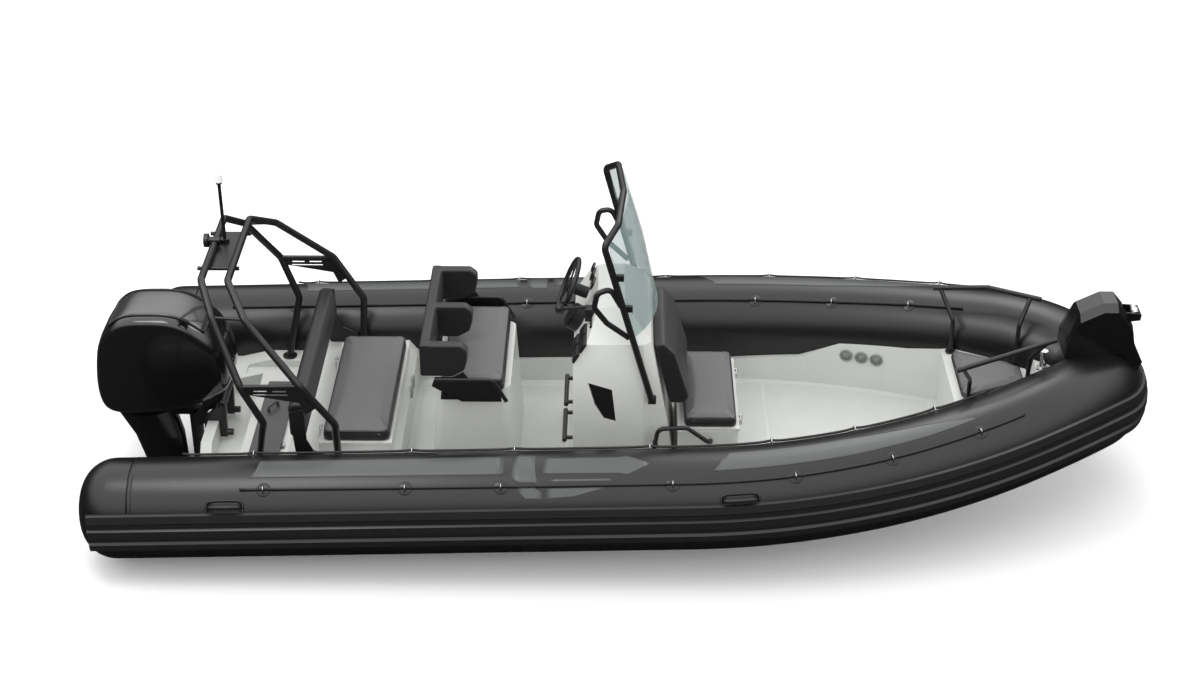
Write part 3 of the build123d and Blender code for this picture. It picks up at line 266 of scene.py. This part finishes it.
TUBE_R = 0.28
STERN_ROUND = 0.19      # rounding of the closed after ends
AFT, SHEER = Vector((-2.96, -0.99, 0.308)), Vector((0.4, -0.99, 0.397))
SHOULDER, NOSE = Vector((2.3, -0.54, 0.56)), Vector((2.715, -0.235, 0.56))
STEPS = 44              # stations of each run of the centreline


def tangent_arc(start, way, end, steps):
    """Points and headings of the arc that leaves START along WAY and ends at END."""
    chord = end - start
    side = chord - chord.dot(way) * way
    side_way = side.normalized()
    radius = chord.length_squared / (2 * chord.dot(side_way))
    turn = 2 * math.atan2(chord.dot(side_way), chord.dot(way))
    rows = []
    for k in range(1, steps + 1):
        a = turn * k / steps
        rows.append((start + radius * (math.sin(a) * way + (1 - math.cos(a)) * side_way),
                     math.cos(a) * way + math.sin(a) * side_way))
    return rows


def centreline():
    """The starboard tube's centreline: rows of distance, point and heading."""
    way = (SHEER - AFT).normalized()
    rows = [(AFT + (SHEER - AFT) * (k / STEPS), way) for k in range(STEPS + 1)]
    rows += tangent_arc(SHEER, rows[-1][1], SHOULDER, STEPS)
    rows += tangent_arc(SHOULDER, rows[-1][1], NOSE, STEPS // 2)
    heading = rows[-1][1]
    tip = NOSE + (heading + Vector((0, 1, 0))) * (-NOSE.y / (1 + heading.y))
    rows += tangent_arc(NOSE, heading, tip, STEPS // 2)
    far, result = 0, []
    for i, (point, heading) in enumerate(rows):
        far += (point - rows[i - 1][0]).length if i else 0
        result.append((far, point, heading))
    return result


LINE = centreline()


def on_tube(far, degrees, radius=TUBE_R):
    """A point round the tube: DEGREES 0 is level outboard and 90 is the top."""
    for (a, p, t), (b, q, u) in zip(LINE, LINE[1:]):
        if far <= b or b == LINE[-1][0]:
            share = (far - a) / (b - a)
            point, way = p.lerp(q, share), t.lerp(u, share).normalized()
            break
    up = (Vector((0, 0, 1)) - way.z * way).normalized()
    out = way.cross(up)
    a = math.radians(degrees)
    return point + radius * (math.cos(a) * out + math.sin(a) * up)


def tube_skin():
    """The tube's skin with its rounded after end."""
    sides = 72
    stations = []
    for k in range(13):
        a = math.pi / 2 * k / 12
        stations.append((STERN_ROUND * (1 - math.cos(a)), TUBE_R - STERN_ROUND + STERN_ROUND * math.sin(a)))
    stations += [(far, TUBE_R) for far, _, _ in LINE if far > STERN_ROUND * 1.2]
    return skinned([[on_tube(far, 360 * k / sides, radius) for k in range(sides)]
                    for far, radius in stations])


def patch(rows, lift=0.0016, columns=10, step=0.05):
    """A thin patch that follows the tube. ROWS are distance, lowest and highest degrees."""
    stations = []
    for (a, low_a, high_a), (b, low_b, high_b) in zip(rows, rows[1:]):
        count = max(1, round((b - a) / step))
        for k in range(count):
            t = k / count
            stations.append((a + t * (b - a), low_a + t * (low_b - low_a), high_a + t * (high_b - high_a)))
    stations.append(rows[-1])

    def point(column, row, radius):
        far, low, high = stations[row]
        return on_tube(far, low + (high - low) * column / columns, radius)
    return sheet(columns, len(stations) - 1, lambda c, r: point(c, r, TUBE_R + lift),
                 lambda c, r: point(c, r, TUBE_R - 0.002))


skin = tube_skin()
for side, part in (("starboard", skin), ("port", mirrored(skin))):
    make("tube_skin_" + side, part, FABRIC, stands_for=["tube_" + side])

# grey patches: a long side panel, a bent band, an arrow and a forward panel
SIDE_PATCHES = (
    ((0.966, 67.5, 68.5), (1.01, 67.4, 95.6), (2.353, 66.2, 95.8)),
    ((2.395, 60, 92), (2.437, 54.6, 99), (2.521, 54.4, 99), (2.535, 54.2, 66)),
    ((2.430, 46, 50.5), (2.475, 37, 50.5), (2.52, 37, 50.5), (2.565, 37, 44)),
    ((2.563, 66.5, 92), (2.983, 65.5, 91.4), (3.025, 63.4, 93.4), (3.151, 78.2, 78.6)),
    ((2.605, 56.8, 59.2), (2.941, 56.6, 59.0)),
    ((2.585, 37, 49.2), (2.731, 39, 49.2), (2.899, 48.4, 49.2)),
    ((3.493, 66.5, 67.6), (3.592, 66.6, 96.5), (4.251, 68, 97), (4.70, 71, 90), (5.01, 75.6, 76.4)),
)
patches = joined([patch(rows) for rows in SIDE_PATCHES])
make("tube_patches_starboard", patches, PATCH)
make("tube_patches_port", mirrored(patches), PATCH)

# the seam of the closed after end: a glued band of the same fabric round the tube
seam = patch(((0.30, -178, 178), (0.33, -178, 178)), 0.0008, 48, 0.03)
make("tube_seams_starboard", seam, FABRIC)
make("tube_seams_port", mirrored(seam), FABRIC)


def grip(far, degrees, long=0.20, wide=9.5):
    """A rubber grip: a raised rim with a bar across its recess."""
    half = long / 2
    corners = []
    for k in range(33):
        a = 2 * math.pi * k / 32
        x, y = math.cos(a), math.sin(a)
        reach = (abs(x) ** 6 + abs(y) ** 6) ** (-1 / 6)
        corners.append(on_tube(far + half * x * reach, degrees + wide * y * reach, TUBE_R + 0.004))
    rim = hose(corners, 0.007, 8)
    bar = []
    for k in range(13):
        proud = 0.004 + 0.020 * math.sin(math.pi * k / 12)
        bar.append(on_tube(far + half * (2 * k / 12 - 1) * 0.86, degrees + 2.2, TUBE_R + proud))
    aft, fore = far - half * 0.95, far + half * 0.95
    pad = patch(((aft, degrees - wide, degrees + wide), (fore, degrees - wide, degrees + wide)), 0.003, 6)
    return joined([rim, hose(bar, 0.013, 10), pad])


def ring_patch(far, degrees):
    """The round patch under a lacing ring: a low dome on the tube."""
    rings = []
    for radius, lift in ((0.040, 0.0004), (0.038, 0.0016), (0.0004, 0.0022)):
        points = []
        for k in range(24):
            a = 2 * math.pi * k / 24
            along, up = radius * math.cos(a), radius * math.sin(a)
            points.append(on_tube(far + along, degrees + math.degrees(up / TUBE_R), TUBE_R + lift))
        rings.append(points)
    return skinned(rings)


def steel_ring(far, degrees):
    """The bent steel ring that the line runs through."""
    centre = on_tube(far, degrees)
    out = (on_tube(far, degrees, TUBE_R + 1) - centre)
    way = (on_tube(far + 0.01, degrees) - on_tube(far - 0.01, degrees)).normalized()
    across = out.cross(way)
    points = []
    for k in range(15):
        a = math.pi * k / 14
        points.append(centre + out * (0.001 + 0.026 * math.sin(a)) + across * 0.020 * math.cos(a))
    return hose(points, 0.0032, 8)


grips = joined([grip(0.84, 31), grip(3.62, 28.5)])
make("tube_grips_starboard", grips, RUBBER)
make("tube_grips_port", mirrored(grips), RUBBER)

# grab lines: rope through rings, outboard and inboard; taut, as laced on the tube
OUTER = ((0.92, 52.5), (1.05, 52.4), (1.82, 51.4), (2.34, 51), (3.27, 51), (3.92, 52), (4.45, 54.2),
         (4.97, 57.6), (5.25, 59))
INNER = ((0.55, 122), (0.95, 122.5), (1.83, 123), (2.40, 123), (3.15, 123), (3.85, 124), (4.35, 124),
         (4.85, 122), (5.20, 121))


def line_path(knots):
    """The rope's route: it lies on the tube and is held out a little at each ring."""
    points = []
    for (a, low), (b, high) in zip(knots, knots[1:]):
        count = max(2, round((b - a) / 0.04))
        for k in range(count):
            t = k / count
            held_out = 0.0085 + 0.006 * (2 * t - 1) ** 8
            points.append(on_tube(a + t * (b - a), low + t * (high - low), TUBE_R + held_out))
    points.append(on_tube(*knots[-1], TUBE_R + 0.0085))
    return points


ropes = joined([hose(line_path(OUTER), 0.0062, 8), hose(line_path(INNER), 0.0075, 8)])
rings = joined([ring_patch(far, degrees) for far, degrees in OUTER[1:-1] + INNER[1:-1]])
steel = joined([steel_ring(far, degrees) for far, degrees in OUTER[1:-1] + INNER[1:-1]])
for side, turn in (("starboard", lambda part: part), ("port", mirrored)):
    make("grab_lines_" + side, turn(ropes), ROPE)
    make("ring_patches_" + side, turn(rings), FABRIC)
    make("rings_" + side, turn(steel), STEEL)


# ------------------------------------------------------------------ the cushions
# Seats and backrests: foam in stretched vinyl, grey on the sitting faces and
# black on the sides, with black piping round the top of the seats. Each skin is
# swelled by cloth simulation and capped. A seat's is held round its lower half,
# and a backrest's everywhere but on its front panel.
START = 0.985           # the size that the skin starts from
EDGE = 0.009            # rounding of the foam's edges
VOXEL = 0.007
PUFF = 4.0              # the cloth's pressure
FRAMES = 20
PROUD = 0.009           # how far the vinyl may swell
PIPING_R = 0.0040
# vinyl, embossed with a fine grain: grey on the seats, darker on the backrests
VINYL_GREY = finish("vinyl_grey", "#5b5b5c", 0.50, (420, 0.0004))
VINYL_SLATE = finish("vinyl_slate", "#39393a", 0.46, (420, 0.0003))
VINYL_BLACK = finish("vinyl_black", "#1c1c1d", 0.48, (420, 0.0004))


def prism(outline, axis, low, high):
    """A solid from an outline: AXIS z takes (x, y) points, axis y takes (x, z) points."""
    def place(point, level):
        return (point[0], point[1], level) if axis == "z" else (point[0], level, point[1])
    return skinned([[place(point, level) for point in outline] for level in (low, high)])


def clipped(x0, x1, half, corner):
    """A rectangle with rounded corners, as (x, y) points."""
    points = []
    for cx, cy, start in ((x1 - corner, half - corner, 0), (x0 + corner, half - corner, 90),
                          (x0 + corner, -half + corner, 180), (x1 - corner, -half + corner, 270)):
        for k in range(5):
            a = math.radians(start + 22.5 * k)
            points.append((cx + corner * math.cos(a), cy + corner * math.sin(a)))
    return points


def stuffed(name, node, parts, body, grey, piping=None, fill=0.9):
    """A cushion from joined prisms. GREY tells which normals are the grey panels."""
    low, high = (Vector(corner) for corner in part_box(node))
    middle = (low + high) / 2
    work = joined(parts)
    bmesh.ops.scale(work, vec=(START, START, START), verts=work.verts, space=Matrix.Translation(-middle))
    piece = make(name, work, VINYL_BLACK, body, stands_for=[node])
    piece.data.materials.append(VINYL_GREY if piping else VINYL_SLATE)
    edge = piece.modifiers.new("edge", "BEVEL")
    edge.width, edge.segments, edge.limit_method = EDGE, 3, "ANGLE"
    remesh = piece.modifiers.new("remesh", "REMESH")
    remesh.mode, remesh.voxel_size = "VOXEL", VOXEL
    apply_modifiers(piece)
    mesh = piece.data
    before = [vert.co.copy() for vert in mesh.vertices]
    held = piece.vertex_groups.new(name="held")
    for vert in mesh.vertices:
        if not grey(vert.normal) and (piping is None or vert.co.z < middle.z):
            held.add([vert.index], 1.0, "REPLACE")
    cloth = piece.modifiers.new("cloth", "CLOTH")
    cloth.settings.vertex_group_mass = "held"
    cloth.settings.use_pressure = True
    cloth.settings.uniform_pressure_force = PUFF
    cloth.settings.effector_weights.gravity = 0
    cloth.point_cache.frame_start, cloth.point_cache.frame_end = 1, FRAMES
    return piece, body, before, grey, piping, fill


def apply_modifiers(piece):
    """The evaluated mesh becomes the piece's own."""
    shown = piece.evaluated_get(bpy.context.evaluated_depsgraph_get())
    mesh = bpy.data.meshes.new_from_object(shown)
    piece.modifiers.clear()
    piece.data = mesh


def settle(rows):
    """Steps the cloth of all cushions at once, then caps, smooths and colours each."""
    for step in range(1, FRAMES + 1):
        bpy.context.scene.frame_set(step)
    for piece, body, before, grey, piping, fill in rows:
        apply_modifiers(piece)
        mesh = piece.data
        for vert, start in zip(mesh.vertices, before):
            move = vert.co - start
            if move.length > 1e-6:
                vert.co = start + move.normalized() * PROUD * math.tanh(move.length / PROUD)
        for face in mesh.polygons:
            face.use_smooth = True
            face.material_index = 1 if grey(face.normal) else 0
        soften = piece.modifiers.new("soften", "SMOOTH")
        soften.iterations = 5
        apply_modifiers(piece)
        if piping:
            skin = BVHTree.FromPolygons([v.co for v in piece.data.vertices],
                                        [tuple(f.vertices) for f in piece.data.polygons])
            seam = [skin.find_nearest(point)[0] for point in piping + piping[:1]]
            make(piece.name + "_piping", hose(seam, PIPING_R, 8), VINYL_BLACK, body)
    bpy.context.scene.frame_set(1)


def upward(normal):
    """The grey panels of a seat."""
    return normal.z > 0.62


def facing(normal):
    """The lighter panels of a backrest."""
    return normal.x > 0.55


def seam_loop(outline, z):
    """Piping along an outline at one height."""
    return [Vector((x, y, z)) for x, y in outline]


bench = clipped(-1.682, -1.295, 0.552, 0.040)
helm = clipped(-1.005, -0.640, 0.440, 0.043)
front = clipped(0.386, 0.692, 0.390, 0.036)
bow = [(2.385, 0.0655), (2.315, 0.131), (2.020, 0.262), (1.990, 0.222)]
bow = bow + [(x, -y) for x, y in reversed(bow)]
bar = [(-1.838, 0.60), (-1.838, 0.775), (-1.818, 0.80), (-1.762, 0.80), (-1.742, 0.775), (-1.742, 0.60),
       (-1.762, 0.578), (-1.818, 0.578)]
wing = [(-1.058, 0.862), (-0.927, 0.862), (-0.857, 0.902), (-0.837, 0.982), (-0.837, 1.032), (-0.877, 1.068),
        (-1.058, 1.068)]
back = [(-1.112, 0.862), (-1.052, 0.862), (-1.052, 1.072), (-1.112, 1.072)]
pad = [(0.205, 1.000), (0.262, 1.010), (0.330, 0.940), (0.372, 0.800), (0.418, 0.650), (0.385, 0.610),
       (0.300, 0.610)]
settle([
    stuffed("bench_cushion_vinyl", "bench_cushion", [prism(bench, "z", 0.472, 0.545)], "bench_lid", upward,
            seam_loop(bench, 0.534)),
    stuffed("helm_cushion_vinyl", "helm_cushion", [prism(helm, "z", 0.7353, 0.8213)], "boat", upward,
            seam_loop(helm, 0.808)),
    stuffed("console_seat_vinyl", "console_seat_cushion", [prism(front, "z", 0.475, 0.543)],
            "console_seat_lid", upward, seam_loop(front, 0.532)),
    stuffed("bow_cushion_vinyl", "bow_cushion", [prism(bow, "z", 0.590, 0.632)], "bow_lid", upward,
            seam_loop(bow, 0.622)),
    stuffed("bench_backrest_vinyl", "bench_backrest", [prism(bar, "y", -0.69, 0.69)], "boat", facing),
    stuffed("helm_backrest_vinyl", "helm_backrest",
            [prism(back, "y", -0.484, 0.484)]
            + [prism(wing, "y", y, y + 0.066) for y in (-0.484, -0.033, 0.418)],
            "boat", facing),
    stuffed("console_backrest_vinyl", "console_backrest", [prism(pad, "y", -0.35, 0.35)], "boat", facing),
])


# ------------------------------------------------------------------ the motor's cowl
# A moulded plastic cowl, painted and lacquered: one smooth closed body, with a
# raised panel over its top and the panel's rim.
# gloss paint under lacquer, near black
GLOSS = finish("gloss_paint_black", "#0f0f10", 0.12, Coat_Weight=0.6)
# semi-gloss paint on the motor's castings
DEEP = finish("motor_paint_black", "#0b0b0c", 0.26)
# the top panel: the same lacquer over a dark grey, lighter than the cowl's black as a painted highlight on
# its top
PANEL = finish("cowl_panel_painted_highlight", "#383839", 0.16, Coat_Weight=0.7)
COWL = ((-3.010, 0.455), (-3.018, 0.830), (-2.885, 1.035), (-2.700, 1.072), (-2.500, 1.042), (-2.320, 0.885),
        (-2.256, 0.650), (-2.320, 0.545), (-2.520, 0.458), (-2.700, 0.425))
COWL_HEART = Vector((-2.66, 0, 0.74))
# distance from the middle, and the share of the profile's size that is left there
COWL_INSET = ((0, 1.0), (0.06, 0.999), (0.11, 0.994), (0.150, 0.984), (0.176, 0.968), (0.193, 0.945),
              (0.203, 0.918), (0.209, 0.885), (0.2125, 0.85), (0.214, 0.80))
PANEL_FIRST, PANEL_LAST = 14, 37        # places round the profile
PANEL_HALF, PANEL_SIZE, PANEL_DEEP = 0.150, 1.006, 0.012


def smooth_loop(points, steps):
    """A closed smooth curve through (x, z) points."""
    count, result = len(points), []
    for i in range(count):
        a, b, c, d = (Vector(points[(i + k) % count]) for k in (-1, 0, 1, 2))
        for k in range(steps):
            t = k / steps
            result.append(0.5 * (2 * b + (c - a) * t + (2 * a - 5 * b + 4 * c - d) * t * t
                                 + (3 * b - a - 3 * c + d) * t ** 3))
    return result


COWL_LOOP = smooth_loop(COWL, 8)


def cowl_point(index, y, size=1.0):
    """A point of the cowl: place round its profile, distance from the middle."""
    out = abs(y)
    for (a, inset_a), (b, inset_b) in zip(COWL_INSET, COWL_INSET[1:]):
        if out <= b or b == COWL_INSET[-1][0]:
            inset = inset_a + (inset_b - inset_a) * (out - a) / (b - a)
            break
    x, z = COWL_LOOP[index % len(COWL_LOOP)]
    flat = Vector((x, 0, z)) - COWL_HEART
    return COWL_HEART + flat * inset * size + Vector((0, y * size, 0))


def cowl_body():
    """The cowl: its profile, smaller towards each side."""
    widths = [-y for y, _ in reversed(COWL_INSET[1:])] + [y for y, _ in COWL_INSET]
    return skinned([[cowl_point(i, y) for i in range(len(COWL_LOOP))] for y in widths])


def cowl_panel():
    """The raised panel over the top, a little larger than the cowl there."""
    def point(column, row, size):
        return cowl_point(PANEL_FIRST + column, PANEL_HALF * (row - 6) / 6, size)
    return sheet(PANEL_LAST - PANEL_FIRST, 12, lambda c, r: point(c, r, PANEL_SIZE),
                 lambda c, r: point(c, r, PANEL_SIZE - PANEL_DEEP))


def panel_rim():
    """Points round the panel's edge."""
    across = [PANEL_HALF * k / 6 for k in range(-6, 7)]
    rim = [cowl_point(PANEL_FIRST, y, PANEL_SIZE) for y in across]
    rim += [cowl_point(i, PANEL_HALF, PANEL_SIZE) for i in range(PANEL_FIRST + 1, PANEL_LAST + 1)]
    rim += [cowl_point(PANEL_LAST, y, PANEL_SIZE) for y in reversed(across[:-1])]
    rim += [cowl_point(i, -PANEL_HALF, PANEL_SIZE) for i in range(PANEL_LAST - 1, PANEL_FIRST - 1, -1)]
    return rim


make("cowl_body", cowl_body(), GLOSS, "motor", stands_for=["motor_cowl"])
# the raised top panel's lighter grey is a painted highlight
make("cowl_top_panel", cowl_panel(), PANEL, "motor")
make("cowl_panel_rim", hose(panel_rim(), 0.006, 8), DEEP, "motor")


# ------------------------------------------------------------------ the sole's non-slip panels
# Gelcoat moulded with a fine grit, in three panels that follow the rising sole.
# gelcoat with a moulded grit; the grain is drawn coarser than it is, to show
GRIT = finish("non_slip_gelcoat", "#cdcfcb", 0.55, (260, 0.0009))
SOLE_Z = 0.130
SOLE_RISE = 0.065 / 2.26        # slope of the sole forward
SOLE_BEND = 0.3                 # how far aft of amidships the slope starts
SOLE_AFT = ((-1.22, -0.62), (-0.31, -0.62), (-0.31, 0.62), (-1.22, 0.62))
SOLE_MID = ((-0.29, -0.62), (0.90, -0.62), (0.90, 0.62), (-0.29, 0.62))
SOLE_FORE = ((0.92, -0.62), (1.30, -0.56), (1.90, -0.36), (1.90, 0.36), (1.30, 0.56), (0.92, 0.62))


def deck_panel(outline, slope):
    """A thin panel on the sole, from (x, y) points."""
    level = SOLE_Z + SOLE_BEND * slope
    return skinned([[(x, y, level + slope * x + lift) for x, y in outline] for lift in (-0.002, 0.0015)])


panels = [deck_panel(SOLE_AFT, 0), deck_panel(SOLE_MID, SOLE_RISE), deck_panel(SOLE_FORE, SOLE_RISE)]
make("sole_non_slip", joined(panels), GRIT, smooth=False)


# ------------------------------------------------------------------ round fittings
# Moulded grey covers with a cross, pressed into the liner's port side wall and
# the front of the bench box. Each sits on the liner where a line meets it.
# moulded ABS, grey
FITTING_GREY = finish("fitting_grey", "#8d8f8c", 0.4)
TO_PORT, AFTWARD = Vector((0, 1, 0)), Vector((-1, 0, 0))
FITTINGS = (((1.415, 0.2, 0.40), TO_PORT), ((1.505, 0.2, 0.40), TO_PORT), ((1.595, 0.2, 0.40), TO_PORT),
            ((-1.13, 0.33, 0.335), AFTWARD), ((-1.13, 0.22, 0.335), AFTWARD))


def disc(centre, out, radius, thick, sides=28):
    """A round fitting: its middle, the way it faces, radius and thickness."""
    out = Vector(out).normalized()
    centre = Vector(centre)
    return hose([centre - out * 0.002, centre + out * thick], radius, sides)


def cup_fitting(centre, out):
    """A round moulded fitting: flange, dished middle and a cross."""
    out = Vector(out).normalized()
    centre = Vector(centre)
    side = out.cross(Vector((0, 0, 1))).normalized()
    up = side.cross(out)
    flange = []
    for k in range(29):
        a = 2 * math.pi * k / 28
        flange.append(centre + 0.036 * (math.cos(a) * side + math.sin(a) * up) + out * 0.004)
    parts = [hose(flange, 0.006, 8), disc(centre, out, 0.034, 0.003)]
    for way in (side + up, side - up):
        parts.append(hose([centre - 0.024 * way + out * 0.005, centre + 0.024 * way + out * 0.005], 0.004, 8))
    return joined(parts)


liner = frame["nodes"]["deck_liner"].data
liner_skin = BVHTree.FromPolygons([v.co for v in liner.vertices], [tuple(f.vertices) for f in liner.polygons])
cups = []
for start, aim in FITTINGS:
    place, normal, _, _ = liner_skin.ray_cast(Vector(start), aim)
    cups.append(cup_fitting(place, -normal if normal.dot(aim) > 0 else normal))
make("cup_fittings", joined(cups), FITTING_GREY)


# ------------------------------------------------------------------ the console's pocket and dash
# A black block on the console's starboard side, painted shade for the inside of its pocket, and on
# its sloping dash three plain black dials and a row of square switches.
# powder-coated tube and plate: black, slightly satin
FRAME_BLACK = finish("powder_coat_black", "#141414", 0.38)
# the pocket's painted shade: the outline of its black block, as (x, z) points
POCKET_SHADE = ((-0.160, 0.795), (-0.034, 0.750), (-0.012, 0.546), (-0.074, 0.566), (-0.122, 0.658))
DASH_FOOT, DASH_HEAD = Vector((-0.168, 0, 1.065)), Vector((-0.112, 0, 1.190))
DASH_UP = (DASH_HEAD - DASH_FOOT).normalized()
DASH_OUT = Vector((-DASH_UP.z, 0, DASH_UP.x))


def dash_place(across, up):
    """A point on the dash: across to port and up the slope."""
    return DASH_FOOT + DASH_UP * up + Vector((0, across, 0))


# a black block in the pocket's opening: painted shade standing for the shade inside the pocket
make("pocket_painted_shade", prism(POCKET_SHADE, "y", -0.424, -0.372), FRAME_BLACK, smooth=False)
dials = [disc(dash_place(across, 0.060), DASH_OUT, radius, 0.008)
         for across, radius in ((0.16, 0.042), (0.27, 0.042), (0.36, 0.03))]
make("dash_dials", joined(dials), GLOSS)
switches = []
for k in range(5):
    centre = dash_place(-0.34 + 0.034 * k, 0.055)
    switches.append(hose([centre - DASH_OUT * 0.002, centre + DASH_OUT * 0.011], 0.011, 4))
make("dash_switches", joined(switches), RUBBER, smooth=False)


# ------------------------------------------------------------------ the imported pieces
# Frames, mouldings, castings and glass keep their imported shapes, and take their
# finish from their material slot or their name. Five of the mouldings also get
# softened edges.
# gelcoat off a polished mould: off-white, smooth and a little glossy
GELCOAT = finish("gelcoat_white", "#d6d8d4", 0.30)
# extruded rubber strake, dark grey
STRAKE_GREY = finish("strake_rubber_grey", "#171718", 0.34)
# the clear lens of the stern light
LAMP_CLEAR = finish("lamp_lens", "#e6e6e6", 0.10)
# painted hatch board, mid grey
BOARD = finish("hatch_board_grey", "#4a4a4b", 0.42)
# tinted acrylic, bent in one sheet: pale blue-green, seen through
SCREEN = finish("tinted_acrylic", "#93a6a4", 0.04, Transmission_Weight=0.0, Alpha=0.44)
# moulded plastic over the bow, glossy black
BOW_GLOSS = finish("moulded_black_gloss", "#0b0b0c", 0.20, Coat_Weight=0.4)
BY_SLOT = {"tube_fabric": FABRIC, "strake_rubber": STRAKE_GREY, "gelcoat": GELCOAT,
           "black_frame": FRAME_BLACK, "lamp": LAMP_CLEAR, "cushion_vinyl": VINYL_GREY,
           "hatch_board": BOARD, "wheel_rubber": RUBBER, "tinted_screen": SCREEN,
           "motor_gloss": GLOSS, "motor_paint": DEEP, "stainless": STEEL}
BY_NODE = {"grab_rail": FRAME_BLACK, "horn": FRAME_BLACK, "bow_housing": BOW_GLOSS, "bow_bitt": STEEL,
           "lid_hinges": STEEL}
for row in frame["record"]["subparts"]:
    mesh = frame["nodes"][row["node"]].data
    mesh.materials.clear()
    mesh.materials.append(BY_NODE.get(row["node"], BY_SLOT[row["material_slot"]]))
for name in ("deck_liner", "console", "helm_pod", "console_seat_base", "hull"):
    soften = frame["nodes"][name].modifiers.new("moulded_edges", "BEVEL")
    soften.width, soften.segments, soften.limit_method = 0.010, 3, "ANGLE"
    soften.angle_limit = math.radians(28)
